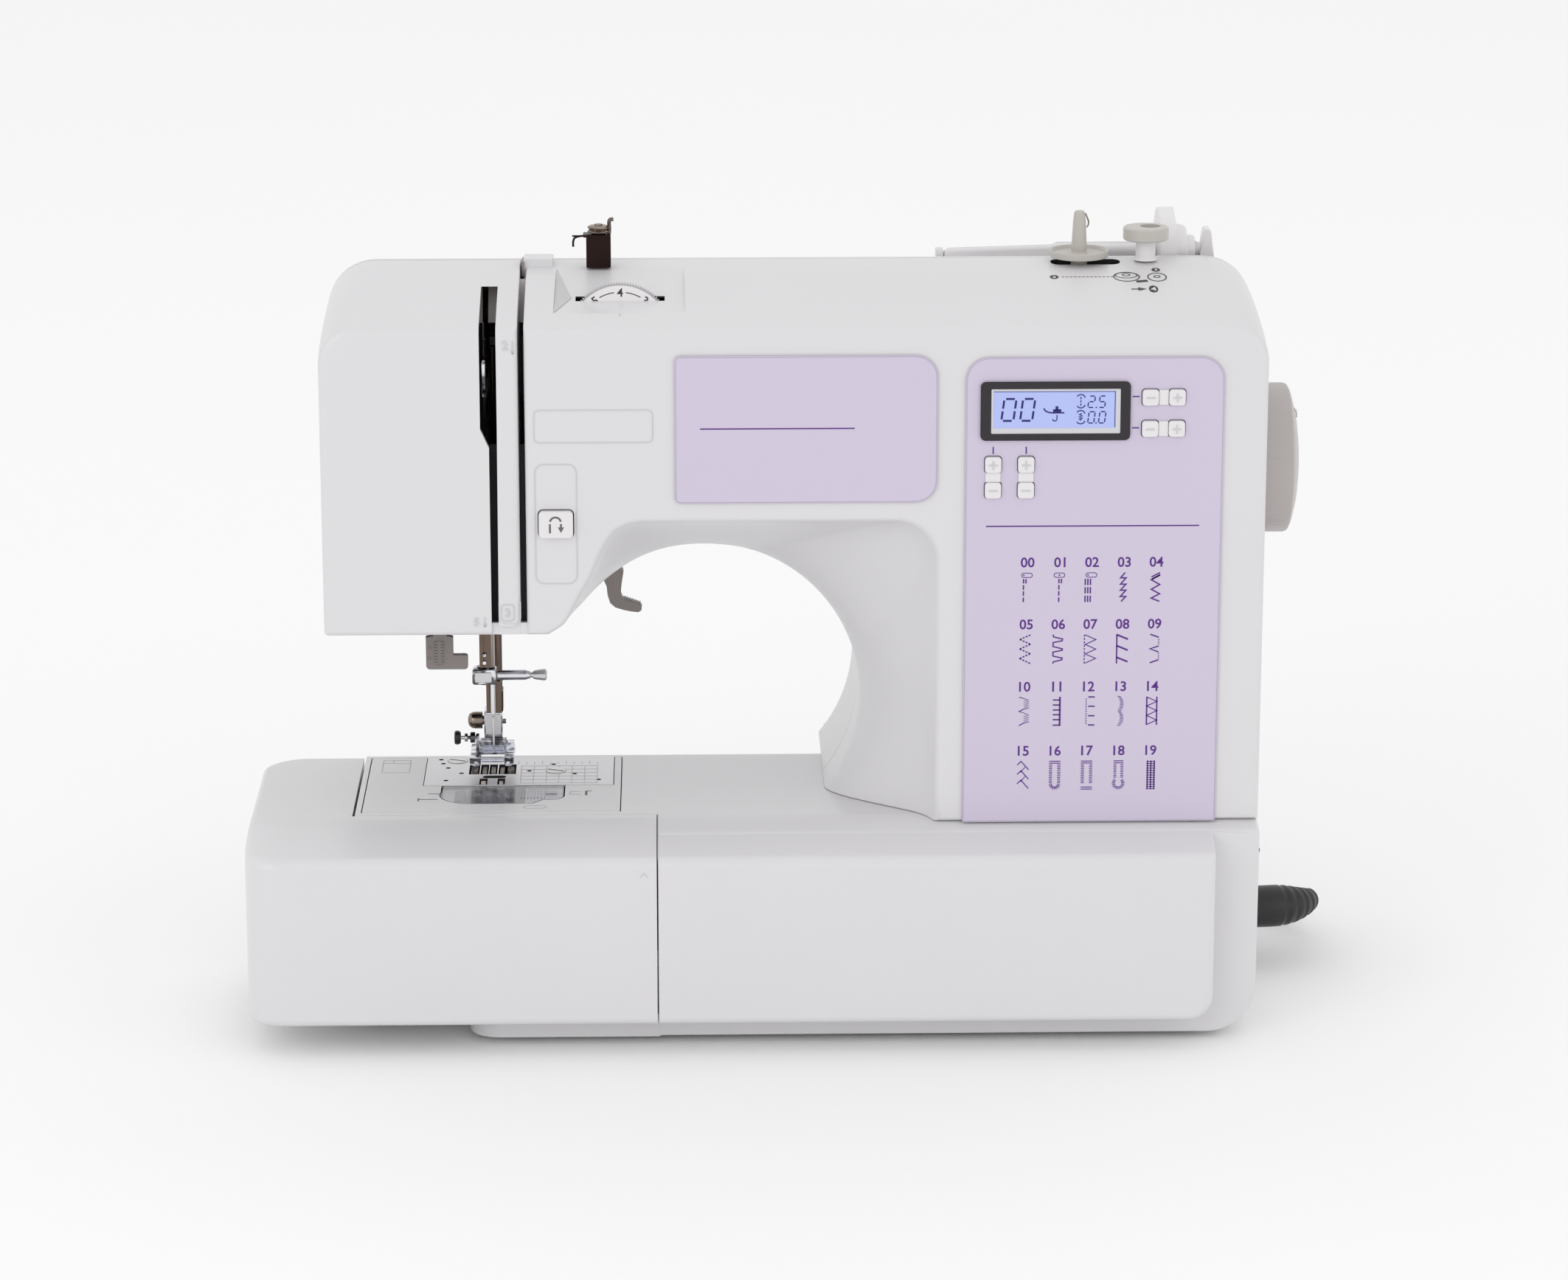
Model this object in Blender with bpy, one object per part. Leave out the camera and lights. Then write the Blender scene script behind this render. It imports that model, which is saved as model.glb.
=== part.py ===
"""Free-arm household sewing machine, built as separate named pieces.

All sizes are millimetres; MM turns them into metres when a mesh is made.
x runs left to right, y front to back, z up, and the machine stands on z = 0.
"""

import math

import bmesh
import bpy
from mathutils import Matrix, Vector

MM = 0.001
WALL = 2.5
GAP = 0.3

# Body
LEFT, RIGHT = -174.5, 187.0
FRONT, BACK = -65.0, 67.0
PARTING = 2.7
RIDGE, CREST = 283.5, 297.5
HEAD_BOTTOM = 163.5
ARCH_CENTRE = (-28.5, 127.5)
ARCH_R = 61.5
ARCH_DEEP = -19.0
HOUSING_LEFT = -96.5
COVER_RIGHT = -98.9

# Base, free arm and accessory table
BED = 88.5
BASE_FRONT, BASE_BACK = -87.0, 87.0
BASE_BOTTOM = 2.5
PAD_RIGHT = 168.8
PAD_BOTTOM = 12.3
PAD_BACK = -72.0
SLOPE_START, SLOPE_DROP, SLOPE_POWER = -56.0, 9.5, 1.5
SEAM = -47.0
STEP_X = 22.0
ARM_LEFT, ARM_FRONT, ARM_BACK, ARM_BOTTOM = -165.0, -54.6, 36.0, 30.0
TABLE_LEFT, TABLE_BACK = -206.5, 28.0

# Sewing parts
NEEDLE = (-112.3, -3.7)
NEEDLE_BAR_X = -114.0
PRESSER = (-111.0, 9.0)
PLATE_TOP = 88.8
FOOT_BOTTOM = 96.0
HOOK = (-110.0, -22.0)

# Drive
SHAFT_Y, SHAFT_Z = 1.0, 217.3
LOWER_Y, LOWER_Z = -22.0, 45.0
MOTOR_Z = 130.0
WHEEL_R = 29.5
WHEEL_X = (189.4, 206.5)

# Top
WINDER_X, WINDER_Y = 118.7, -4.0
STOP_X = 144.7
DIAL = (-60.0, -44.0, 277.0)
DIAL_R, DIAL_TILT = 19.7, math.radians(20)
SPOOL_Y, SPOOL_Z = 28.5, 296.0
HANDLE_Y, HANDLE_Z = 53.5, 288.5
TROUGH = (78.0, 184.5, 9.5, 47.5, 276.0)

# Controls on the column: key size, and each key's name, x and z
KEY = 6.3
KEYS = (
    ("width_minus_key", 141.7, 256.3),
    ("width_plus_key", 151.9, 256.3),
    ("length_minus_key", 141.7, 244.1),
    ("length_plus_key", 151.9, 244.1),
    ("tens_plus_key", 82.0, 230.3),
    ("tens_minus_key", 82.0, 220.3),
    ("units_plus_key", 94.6, 230.3),
    ("units_minus_key", 94.6, 220.3),
)
REVERSE = (-91.5, -78.4, 202.5, 213.0)

# Mains lead
CORD_D = 6.2
COIL = (120.0, 143.0)
COIL_R_IN, COIL_R_OUT, COIL_H = 24.6, 43.4, 19.0
CONNECTOR_ROUTE = ((187.6, 21, 24), (197, 21, 24), (206, 22, 24), (213.6, 25.4, 23.6), (219.6, 32, 22.9), (221.5, 42, 21.1))
CORD_ROUTE = (
    (221.6, 42.9, 20.9), (221.4, 49, 19.4), (220.4, 57, 17), (217.4, 66, 13.6), (212.4, 75.4, 10.4),
    (205.4, 83.6, 7.6), (196.6, 90, 5.4), (186.6, 94, 4.2), (175.6, 95.9, 3.6), (164, 96.3, 3.4),
    (152, 96.3, 3.3), (140, 96.2, 3.3), (130, 96.2, 3.3), (121.5, 96.2, 3.3),
)


# ---------------------------------------------------------------- helpers

def clear_scene():
    """Remove every object that the scene holds."""
    for old in list(bpy.data.objects):
        bpy.data.objects.remove(old, do_unlink=True)


def material(name, colour, roughness=0.4, metallic=0.0, alpha=1.0):
    """A Principled material with one colour."""
    mat = bpy.data.materials.new(name)
    mat.use_nodes = True
    shader = mat.node_tree.nodes["Principled BSDF"]
    shader.inputs["Base Color"].default_value = (*colour, 1.0)
    shader.inputs["Roughness"].default_value = roughness
    shader.inputs["Metallic"].default_value = metallic
    shader.inputs["Alpha"].default_value = alpha
    mat.diffuse_color = (*colour, alpha)
    return mat


def body(name, shape, mat, origin=(0, 0, 0), bevel=0.0, parent=None):
    """Make one closed object from (points, faces) in millimetres, with its origin at origin."""
    points, faces = shape
    bm = bmesh.new()
    verts = [bm.verts.new(Vector(p) * MM) for p in points]
    for face in faces:
        bm.faces.new([verts[i] for i in face])
    if bevel:
        sharp = [e for e in bm.edges if e.calc_face_angle(0) > math.radians(40)]
        bmesh.ops.bevel(bm, geom=sharp, offset=bevel * MM, segments=1, affect="EDGES", clamp_overlap=True)
    bmesh.ops.recalc_face_normals(bm, faces=bm.faces)
    mesh = bpy.data.meshes.new(name)
    bm.to_mesh(mesh)
    bm.free()
    mesh.transform(Matrix.Translation(-Vector(origin) * MM))
    mesh.materials.append(mat)
    obj = bpy.data.objects.new(name, mesh)
    obj.location = Vector(origin) * MM
    bpy.context.collection.objects.link(obj)
    if parent:
        bpy.context.view_layer.update()
        obj.parent = parent
        obj.matrix_parent_inverse = parent.matrix_world.inverted()
    return obj


def combine(target, shape, operation="DIFFERENCE"):
    """Cut shape from the target object, or join it on, and keep the result as plain mesh."""
    tool = body("tool", shape, target.data.materials[0])
    step = target.modifiers.new("step", "BOOLEAN")
    step.operation = operation
    step.solver = "EXACT"
    step.object = tool
    view = bpy.context.evaluated_depsgraph_get()
    result = bpy.data.meshes.new_from_object(target.evaluated_get(view))
    target.modifiers.remove(step)
    result.name = target.name
    target.data = result
    bpy.data.objects.remove(tool, do_unlink=True)


def loft(rings):
    """Join rings of equal length with quads, and close both ends."""
    count = len(rings[0])
    points = [p for ring in rings for p in ring]
    faces = [tuple(range(count))]
    for k in range(len(rings) - 1):
        a, b = k * count, (k + 1) * count
        for i in range(count):
            j = (i + 1) % count
            faces.append((a + i, a + j, b + j, b + i))
    faces.append(tuple(range(len(points) - count, len(points))))
    return points, faces


def place(u, v, w, axis):
    """Turn outline coordinates (u, v) and a height w along axis into x, y, z."""
    if axis == "x":
        return (w, u, v)
    if axis == "y":
        return (u, w, v)
    return (u, v, w)


def prism(outline, axis, low, high):
    """Extrude an outline along an axis: yz for x, xz for y, xy for z."""
    return loft([[place(u, v, w, axis) for u, v in outline] for w in (low, high)])


def block(x0, x1, y0, y1, z0, z1):
    """A box from its two corners."""
    return prism([(x0, y0), (x1, y0), (x1, y1), (x0, y1)], "z", z0, z1)


def turned(profile, centre, axis="z", sides=32):
    """Turn (radius, height) pairs round an axis; a profile that starts off the axis makes a ring."""
    solid = profile[0][0] == 0
    rows = profile[1:-1] if solid else profile
    points, faces = [], []
    for radius, height in rows:
        for k in range(sides):
            angle = 2 * math.pi * k / sides
            points.append((radius * math.cos(angle), radius * math.sin(angle), height))
    for i in range(len(rows) - (1 if solid else 0)):
        a, b = i * sides, ((i + 1) % len(rows)) * sides
        for k in range(sides):
            n = (k + 1) % sides
            faces.append((a + k, a + n, b + n, b + k))
    if solid:
        faces.append(tuple(range(sides)))
        faces.append(tuple(range(len(points) - sides, len(points))))
        ends = (profile[0][1], profile[-1][1])
        for edge, end in ((rows[0][1], ends[0]), (rows[-1][1], ends[1])):
            assert abs(edge - end) < 1e-6, "a solid turning starts and ends on flat faces"
    turn = {"z": (0, 1, 2), "x": (1, 2, 0), "y": (0, 2, 1)}[axis]
    shifted = []
    for p in points:
        q = [0.0, 0.0, 0.0]
        for source, target in enumerate(turn):
            q[target] = p[source]
        shifted.append(tuple(q[i] + centre[i] for i in range(3)))
    return shifted, faces


def rod(radius, low, high, centre, axis="z", sides=24):
    """A plain round rod between two heights on an axis."""
    return turned([(0, low), (radius, low), (radius, high), (0, high)], centre, axis, sides)


def arc(cx, cy, radius, start, end, steps):
    """Points on an arc, both ends included, angles in degrees."""
    turns = [math.radians(start + (end - start) * k / steps) for k in range(steps + 1)]
    return [(cx + radius * math.cos(t), cy + radius * math.sin(t)) for t in turns]


def round_box(u0, u1, v0, v1, radii, steps=4):
    """A rectangle with round corners, anticlockwise from the low-left one."""
    a, b, c, d = radii
    return (arc(u0 + a, v0 + a, a, 180, 270, steps) + arc(u1 - b, v0 + b, b, 270, 360, steps)
            + arc(u1 - c, v1 - c, c, 0, 90, steps) + arc(u0 + d, v1 - d, d, 90, 180, steps))


def inset(outline, distance):
    """Move an anticlockwise outline inwards by a distance."""
    moved = []
    count = len(outline)
    for i, point in enumerate(outline):
        before = Vector(point) - Vector(outline[i - 1])
        after = Vector(outline[(i + 1) % count]) - Vector(point)
        n1 = Vector((-before.y, before.x)).normalized()
        n2 = Vector((-after.y, after.x)).normalized()
        mid = (n1 + n2).normalized()
        reach = distance / max(mid.dot(n1), 0.5)
        moved.append((point[0] + mid.x * reach, point[1] + mid.y * reach))
    return moved


def at_y(outline, y):
    """Stand an xz outline up at a depth."""
    return [(x, y, z) for x, z in outline]


def smooth(t):
    """Ease from 0 to 1."""
    t = min(max(t, 0.0), 1.0)
    return t * t * (3 - 2 * t)


def blend(a, b, t):
    """Mix two outlines point by point."""
    return [(p[0] + (q[0] - p[0]) * t, p[1] + (q[1] - p[1]) * t) for p, q in zip(a, b)]


# ---------------------------------------------------------------- shared shapes

def base_top(y):
    """Height of the bed, which rounds off towards the front and the back."""
    if y < SLOPE_START:
        return BED - SLOPE_DROP * ((SLOPE_START - y) / (SLOPE_START - BASE_FRONT)) ** SLOPE_POWER
    return BED - 7.0 * max(0.0, (y - 70) / (BASE_BACK - 70)) ** 2


def front_top(y):
    """Height of the top between the ridge and the crest."""
    s = min(max((y - FRONT) / (1 - FRONT), 0.0), 1.0)
    return RIDGE + (CREST - RIDGE) * (1 - (1 - s) ** 1.7)


def rear_top(y):
    """Height of the rear deck, which drops behind the crest."""
    if y < 22:
        return CREST - 13.5 * smooth((y - 6) / 16)
    return CREST - 13.5 - 2.0 * smooth((y - 22) / 30)


def front_edge():
    """Lower edge of the arm and left edge of the column at the front face."""
    left = [(-88, HEAD_BOTTOM), (-82, 168), (-77, 176), (-72, 187), (-67, 199.5), (-61, 205.5)]
    flat = [(-50.6, 207.8), (0, 207.8)]
    corner = arc(45, 191.8, 16, 90, 0, 5)
    return left + flat + corner + [(61, 150), (61, 120), (61, BED + GAP)]


def deep_edge():
    """The same edge where the arch is round, point for point."""
    cx, cz = ARCH_CENTRE
    foot = math.degrees(math.asin((BED + GAP - cz) / ARCH_R))
    turns = [143.6, 136, 128, 120, 112, 104, 96, 82, 74, 62, 50, 38, 26, 14, 2, -16, foot]
    arch = [(cx + ARCH_R * math.cos(math.radians(t)), cz + ARCH_R * math.sin(math.radians(t))) for t in turns]
    return arch


def housing_outline(y, left, top, corner, left_corner=0.6, wall=0.0):
    """Outline of a housing at a depth, anticlockwise from its lower left corner, moved in by a wall."""
    edge = blend(front_edge(), deep_edge(), smooth((y - FRONT) / (ARCH_DEEP - FRONT)) ** 0.8)
    edge[-1] = (edge[-1][0], base_top(y) + GAP)
    lower = [(left, HEAD_BOTTOM)] + edge + [(RIGHT, base_top(y) + GAP)]
    lower = inset(lower + [(RIGHT, top), (left, top)], wall)[:-2]
    u0, u1, v1 = left + wall, RIGHT - wall, top - wall
    r0, r1 = max(left_corner - wall, 0.3), max(corner - wall, 0.3)
    crown = arc(u1 - r1, v1 - r1, r1, 0, 90, 5)
    return lower + crown + arc(u0 + r0, v1 - r0, r0, 90, 180, 4)


def cover_outline(top, corner, wall=0.0):
    """Outline of the face cover, moved in by a wall."""
    radii = [max(r - wall, 0.3) for r in (1, 1, 0.6, corner)]
    return round_box(LEFT + wall, COVER_RIGHT - wall, HEAD_BOTTOM + wall, top - wall, radii)


def shell(stations):
    """A hollow shell from (depth, outline, inner outline), closed at its first depth and open at its last."""
    outer = [at_y(outline, y) for y, outline, _ in stations]
    facing = 1 if stations[-1][0] > stations[0][0] else -1
    floor = stations[0][0] + facing * WALL
    kept = [(y, inner) for y, _, inner in stations if facing * (y - floor) > 0.5]
    inner = [at_y(outline, y) for y, outline in kept]
    return loft(outer + inner[::-1] + [at_y(kept[0][1], floor)])


# ---------------------------------------------------------------- housings

def head_well(obj):
    """Open the underside of the head round the needle bar and the presser bar."""
    well = [(-171, -60), (-118, -60), (-118, -22), (-104, -22), (-104, 24), (-171, 24)]
    combine(obj, prism(well, "z", 155, 168))


def column_well(obj):
    """Open the column's foot and the base's top for the frame and the belts."""
    combine(obj, block(85, 183, -45, 52, 78, 98))


def front_housing(mat):
    """Front half of the arm and column."""
    depths = (-63.8, -58, -51, -43, -34, -26, ARCH_DEEP, -8, PARTING)
    stations = [(FRONT, housing_outline(FRONT, HOUSING_LEFT, RIDGE + 0.3, 15, wall=1.2), None)]
    for y in depths:
        corner = 15 + 4 * smooth((y - FRONT) / 60)
        pair = [housing_outline(y, HOUSING_LEFT, front_top(y), corner, wall=w) for w in (0, WALL)]
        stations.append((y, *pair))
    obj = body("front_housing", shell(stations), mat)
    column_well(obj)
    combine(obj, rod(6.5, -110, -85, (0, SHAFT_Y, SHAFT_Z), "x"))
    combine(obj, rod(6.5, 180, 195, (0, SHAFT_Y, SHAFT_Z), "x"))
    x0, x1, z0, z1 = REVERSE
    combine(obj, block(x0 - GAP, x1 + GAP, -70, -60, z0 - GAP, z1 + GAP))
    for _, x, z in KEYS:
        half = KEY / 2 + GAP
        combine(obj, block(x - half, x + half, -70, -60, z - half, z + half))
    combine(obj, block(DIAL[0] - 25, DIAL[0] + 25, -59, -46, 288.2, 310))
    combine(obj, block(DIAL[0] - 19.5, DIAL[0] + 19.5, -46.2, -31, 280, 310))
    combine(obj, block(112, 134, -8, 0, 290, 305))
    return obj


def rear_housing(mat):
    """Back half of the body, with the thread tray and the handle's lugs."""
    stations = []
    for y, edge in ((PARTING + 0.5, 0), (8, 0), (12, 0), (17, 0), (22, 0), (56, 0), (62, 1.4), (65.5, 4.2), (BACK, 8.5)):
        pair = [housing_outline(10, LEFT, rear_top(y), 19, 19, edge + w) for w in (0, WALL)]
        stations.append((y, *pair))
    obj = body("rear_housing", shell(stations[::-1]), mat)
    x0, x1, y0, y1, floor = TROUGH
    combine(obj, block(x0 - WALL, x1 + 0.5, y0 - WALL, y1 + WALL, floor - WALL, floor + 8), "UNION")
    combine(obj, block(x0, x1, y0, y1, floor, floor + 40))
    for x in (65.7, 165.3):
        combine(obj, block(x, x + 3, HANDLE_Y - 3.5, HANDLE_Y + 3.5, 276, 292), "UNION")
    head_well(obj)
    column_well(obj)
    combine(obj, rod(6.5, 180, 195, (0, SHAFT_Y, SHAFT_Z), "x"))
    combine(obj, block(-99, -57, 33, 39, 150, 181))
    return obj


def face_cover(mat):
    """Front left cover of the head, with the take-up slot and the thread bar beside it."""
    stations = [(FRONT, cover_outline(RIDGE + 0.3, 14, 0.9), None)]
    for y in (-64, -58, -51, -43, -34, -26, -14, 2.4):
        corner = 14 + 5 * smooth((y - FRONT) / 60)
        stations.append((y, cover_outline(front_top(y), corner), cover_outline(front_top(y), corner, WALL)))
    obj = body("face_cover", shell(stations), mat)
    combine(obj, block(-114.7, -109.2, -70, -20, 150, 293.4))
    head_well(obj)
    combine(obj, rod(6.5, -110, -90, (0, SHAFT_Y, SHAFT_Z), "x"))
    return obj


def base_outline(y, pad, edge=0.0):
    """Outline of the base at a depth, moved in by edge; the pad in front is narrower and clears the floor."""
    right, bottom, corner = (PAD_RIGHT, PAD_BOTTOM, 10) if pad else (RIGHT, BASE_BOTTOM, 19)
    radii = [max(r - edge, 0.3) for r in (1, corner, 1.5, 1)]
    return round_box(SEAM + edge, right - edge, bottom + edge, base_top(y) - edge, radii)


def base_housing(mat):
    """Base under the column with the free arm, one moulding."""
    rings = [at_y(base_outline(BASE_FRONT, True, 1.5), BASE_FRONT)]
    rings += [at_y(base_outline(y, True), y) for y in (-85.8, -83, -79, PAD_BACK)]
    rings += [at_y(base_outline(y, False), y) for y in (PAD_BACK + 0.4, -66, -60, SLOPE_START, 70, 76, 82, 85.5)]
    rings.append(at_y(base_outline(BASE_BACK, False, 2), BASE_BACK))
    obj = body("base_housing", loft(rings), mat)
    section = round_box(ARM_FRONT, ARM_BACK, ARM_BOTTOM, BED, (8, 14, 10, 0.6), 4)
    combine(obj, prism(section, "x", ARM_LEFT, SEAM + 1), "UNION")
    behind = [(20, PAD_BOTTOM), (100, PAD_BOTTOM), (100, 100), (ARM_BACK - 10, 100)]
    behind += arc(ARM_BACK - 10, BED - 10, 10, 90, 0, 4) + arc(ARM_BACK - 14, ARM_BOTTOM + 14, 14, 0, -90, 4)
    combine(obj, prism(behind + [(20, ARM_BOTTOM)], "x", SEAM - 0.5, STEP_X))
    combine(obj, block(-121, SEAM + 1, PAD_BACK + 0.4, 60, BASE_BOTTOM, 11.8), "UNION")
    main = round_box(SEAM + WALL, RIGHT - WALL, 6, BED - 4, (1, 17, 1, 1), 3)
    combine(obj, prism(main, "y", -68, 17.5))
    rear = round_box(STEP_X + WALL, RIGHT - WALL, 6, BED - 4, (1, 17, 1, 1), 3)
    combine(obj, prism(rear, "y", 17, 80))
    combine(obj, block(SEAM + WALL, PAD_RIGHT - WALL, -84, -67, PAD_BOTTOM + WALL, 76))
    inner = round_box(ARM_FRONT + WALL, ARM_BACK - WALL, ARM_BOTTOM + WALL, BED - 4, (6, 12, 6, 1), 3)
    combine(obj, prism(inner, "x", ARM_LEFT + 3, STEP_X + 8))
    combine(obj, block(-38, 160, -62, 74, 0, 8))
    combine(obj, block(-162.9, -61.2, -51.4, 24.6, 80, 95))
    combine(obj, block(180, 195, -48.5, -33.5, 51.5, 72.5))
    column_well(obj)
    return obj


def bottom_plate(mat):
    """Plate that closes the base, with the two right feet moulded on."""
    obj = body("bottom_plate", block(-37.7, 159.7, -61.7, 73.7, BASE_BOTTOM, 5.5), mat)
    for y in (-48, 60):
        combine(obj, rod(9, 0, BASE_BOTTOM + 1, (145, y, 0)), "UNION")
    return obj


def accessory_table(mat):
    """Slide-off extension table that wraps the free arm and holds the accessories."""
    right, back = SEAM - GAP, ARM_FRONT - 0.7

    def plan(front, edge):
        """L-shaped plan with its front edge at a depth."""
        x0, x1 = TABLE_LEFT + edge, ARM_LEFT - 1
        corner = arc(x0 + 13, max(front + 13, -70), 13, 180, 270, 4)
        corner = [(x, front if k == 4 else max(y, front)) for k, (x, y) in enumerate(corner)]
        corner[0] = (x0, max(front + 13, -70))
        points = corner + [(right, front), (right, back), (x1, back), (x1, TABLE_BACK - edge)]
        return points + arc(x0 + 16, TABLE_BACK - edge - 16, 16, 90, 180, 5)

    def front_at(z):
        """Depth of the front at a height."""
        rise = max(0.0, (BED - z) / SLOPE_DROP)
        return SLOPE_START - (SLOPE_START - BASE_FRONT) * min(rise, 1.0) ** (1 / SLOPE_POWER)

    rings = []
    for z, edge in ((PAD_BOTTOM, 4), (14.3, 1.2), (17, 0), (79, 0), (82, 0.1), (85, 0.4), (87.2, 1.2), (BED, 3.2)):
        front = front_at(z) + (1.5 if z == PAD_BOTTOM else 0)
        if z == BED:
            front = back - 2.5
        rings.append([(x, y, z) for x, y in plan(front, edge)])
    obj = body("accessory_table", loft(rings), mat, (TABLE_LEFT, 0, 50))
    combine_moved(obj, block(TABLE_LEFT + 3, right - 3, BASE_FRONT + 3, back + 5, PAD_BOTTOM + 3, 75.5))
    combine_moved(obj, block(TABLE_LEFT + 3, ARM_LEFT + 4, back - 5, TABLE_BACK - 7, PAD_BOTTOM + 3, BED - 3.5))
    return obj


def combine_moved(obj, shape, operation="DIFFERENCE"):
    """combine() for an object whose origin isn't the world's."""
    spot = obj.location.copy()
    obj.data.transform(Matrix.Translation(spot))
    obj.location = (0, 0, 0)
    combine(obj, shape, operation)
    obj.data.transform(Matrix.Translation(-spot))
    obj.location = spot


# ---------------------------------------------------------------- panels and controls

def panel_plate(name, outline, mat):
    """A thin panel on the front face."""
    return body(name, prism(outline, "y", FRONT - 1.1, FRONT - GAP), mat)


def panels(mats):
    """The two lilac panels, the display and the board behind it."""
    pattern = panel_plate("pattern_panel", round_box(71.4, 170, 87.6, 271.9, (1, 1, 9, 9)), mats["lilac"])
    panel_plate("name_panel", round_box(-39.4, 60.8, 215.5, 272.9, (2, 8.5, 8.5, 2)), mats["lilac"])
    for _, x, z in KEYS:
        half = KEY / 2 + GAP
        combine(pattern, block(x - half, x + half, -70, -60, z - half, z + half))
    front = FRONT - 1.4
    bezel = body("display_bezel", prism(round_box(77, 134.1, 239.8, 262.6, (2, 2, 2, 2)), "y", front - 1, front),
                 mats["dark"])
    combine(bezel, block(81, 130.3, -70, -60, 242.5, 259.9))
    body("display", block(81.3, 130, front - 0.7, front, 242.8, 259.6), mats["display"])
    body("control_board", block(74, 166, -57.5, -56, 206, 268), mats["board"])


def keys(mats):
    """Eight square keys and the reverse key, each with its origin at its own centre."""
    for name, x, z in KEYS:
        half = KEY / 2
        shape = block(x - half, x + half, FRONT - 2.8, FRONT + 3.2, z - half, z + half)
        body(name, shape, mats["key"], (x, FRONT, z), 0.4)
    x0, x1, z0, z1 = REVERSE
    shape = block(x0, x1, FRONT - 2.6, FRONT + 4, z0, z1)
    body("reverse_key", shape, mats["key"], ((x0 + x1) / 2, FRONT, (z0 + z1) / 2), 0.7)


def power_switch(mat):
    """Rocker on the right wall of the base."""
    outline = [(182.5, 53.5), (188, 53.5), (189.2, 55), (187.6, 62), (190.4, 69), (189.4, 70.5), (182.5, 70.5)]
    body("power_switch", prism(outline, "y", -46.5, -35.5), mat, (185, -41, 62))


# ---------------------------------------------------------------- sewing head

def needle_group(mats):
    """Needle bar with its clamp, clamp screw and needle; the needle hangs from the bar."""
    nx, ny = NEEDLE
    bar = body("needle_bar", rod(3, 134.5, 275, (NEEDLE_BAR_X, ny, 0)), mats["steel"], (NEEDLE_BAR_X, ny, 134.5))
    body("needle_clamp", block(-120.3, -110.8, ny - 3.6, ny + 3.4, 127.9, 134.2), mats["steel"],
         (nx, ny, 131), 0.8, bar)
    knob = [(0, -110.5), (1.6, -110.5), (1.6, -98), (3.2, -98), (3.4, -97), (3.4, -91.4), (2.6, -90.6), (0, -90.6)]
    body("needle_clamp_screw", turned(knob, (0, ny, 131.6), "x", 20), mats["steel"], (-110.5, ny, 131.6), 0, bar)
    tip = [(0, 99), (0.12, 99), (0.45, 103), (0.45, 113), (0.9, 115), (0.9, 127.6), (0, 127.6)]
    body("needle", turned(tip, (nx, ny, 0), "z", 12), mats["needle"], (nx, ny, 127.6), 0, bar)


def foot_outline():
    """Plan of the zigzag foot: two toes, the needle's slot and a heel."""
    return [(-121.8, -9), (-120, -13), (-117.6, -14), (-117.2, -9), (-117.2, -1.2), (-108, -1.2), (-108, -9),
            (-107.6, -14), (-105.6, -13), (-104.1, -9), (-104.1, 9), (-106, 12), (-120, 12), (-121.8, 9)]


def presser_group(mats):
    """Presser bar, ankle, thumb screw and foot."""
    px, py = PRESSER
    bar = body("presser_bar", rod(2, 114.1, 262, (px, py, 0), "z", 20), mats["steel"], (px, py, 114))
    ankle = [(1.6, 113.8), (1.6, 106), (3.0, 102.9), (8.2, 102.9), (12, 106), (12, 113.8)]
    body("foot_holder", prism(ankle, "x", -116.2, -108.9), mats["steel"], (px, py, 108), 0.6, bar)
    thumb = [(0, -122.4), (2.2, -122.4), (3.2, -121.6), (3.2, -117.6), (1.8, -117.2), (1.8, -116.5), (0, -116.5)]
    body("foot_screw", turned(thumb, (0, 7, 109.4), "x", 20), mats["steel"], (-117, 7, 109.4), 0, bar)
    foot = body("presser_foot", prism(foot_outline(), "z", FOOT_BOTTOM, FOOT_BOTTOM + 2.2), mats["steel"],
                (-113, 5, 100.4), 0, bar)
    spot = foot.matrix_world.copy()
    foot.data.transform(spot)
    keep = foot.matrix_parent_inverse.copy()
    foot.parent = None
    foot.matrix_world = Matrix.Identity(4)
    bpy.context.view_layer.update()
    combine(foot, block(-118, -107.4, 3.2, 7.2, FOOT_BOTTOM + 1, 102.5), "UNION")
    foot.data.transform(spot.inverted())
    foot.location = Vector((-113, 5, 100.4)) * MM
    foot.parent = bar
    foot.matrix_parent_inverse = keep


def levers(mats):
    """Presser lever, buttonhole lever and take-up lever."""
    lever = arc(-84, 182, 7, -30, 160, 7) + [(-90, 176), (-71, 158), (-66, 149.5), (-58, 146.4), (-53.4, 147.2),
                                             (-53.4, 149.6), (-58.5, 152.6), (-61.5, 157), (-64.5, 163.5)]
    body("presser_lever", prism(lever, "y", 33.6, 38.4), mats["grey"], (-84, 36, 182))
    hook = [(-137.3, 153.8), (-137.3, 144), (-134.5, 140.7), (-120.9, 140.7), (-120.9, 144.6), (-128.4, 145.4),
            (-129.2, 153.8), (-129.2, 208), (-134.4, 208), (-134.4, 153.8)]
    body("buttonhole_lever", prism(hook, "y", -30.5, -27.3), mats["grey"], (-132, -29, 148), 0.4)
    take = arc(-15, 255, 5, -120, 120, 6) + [(-30, 259), (-44, 258), (-51, 261), (-56, 269), (-60.5, 270), (-62, 268),
                                             (-59.5, 262), (-54, 255), (-44, 253), (-30, 252.6)]
    body("take_up_lever", prism(take, "x", -112.8, -111.2), mats["steel"], (-112, -15, 255))


# ---------------------------------------------------------------- bed and hook

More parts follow.
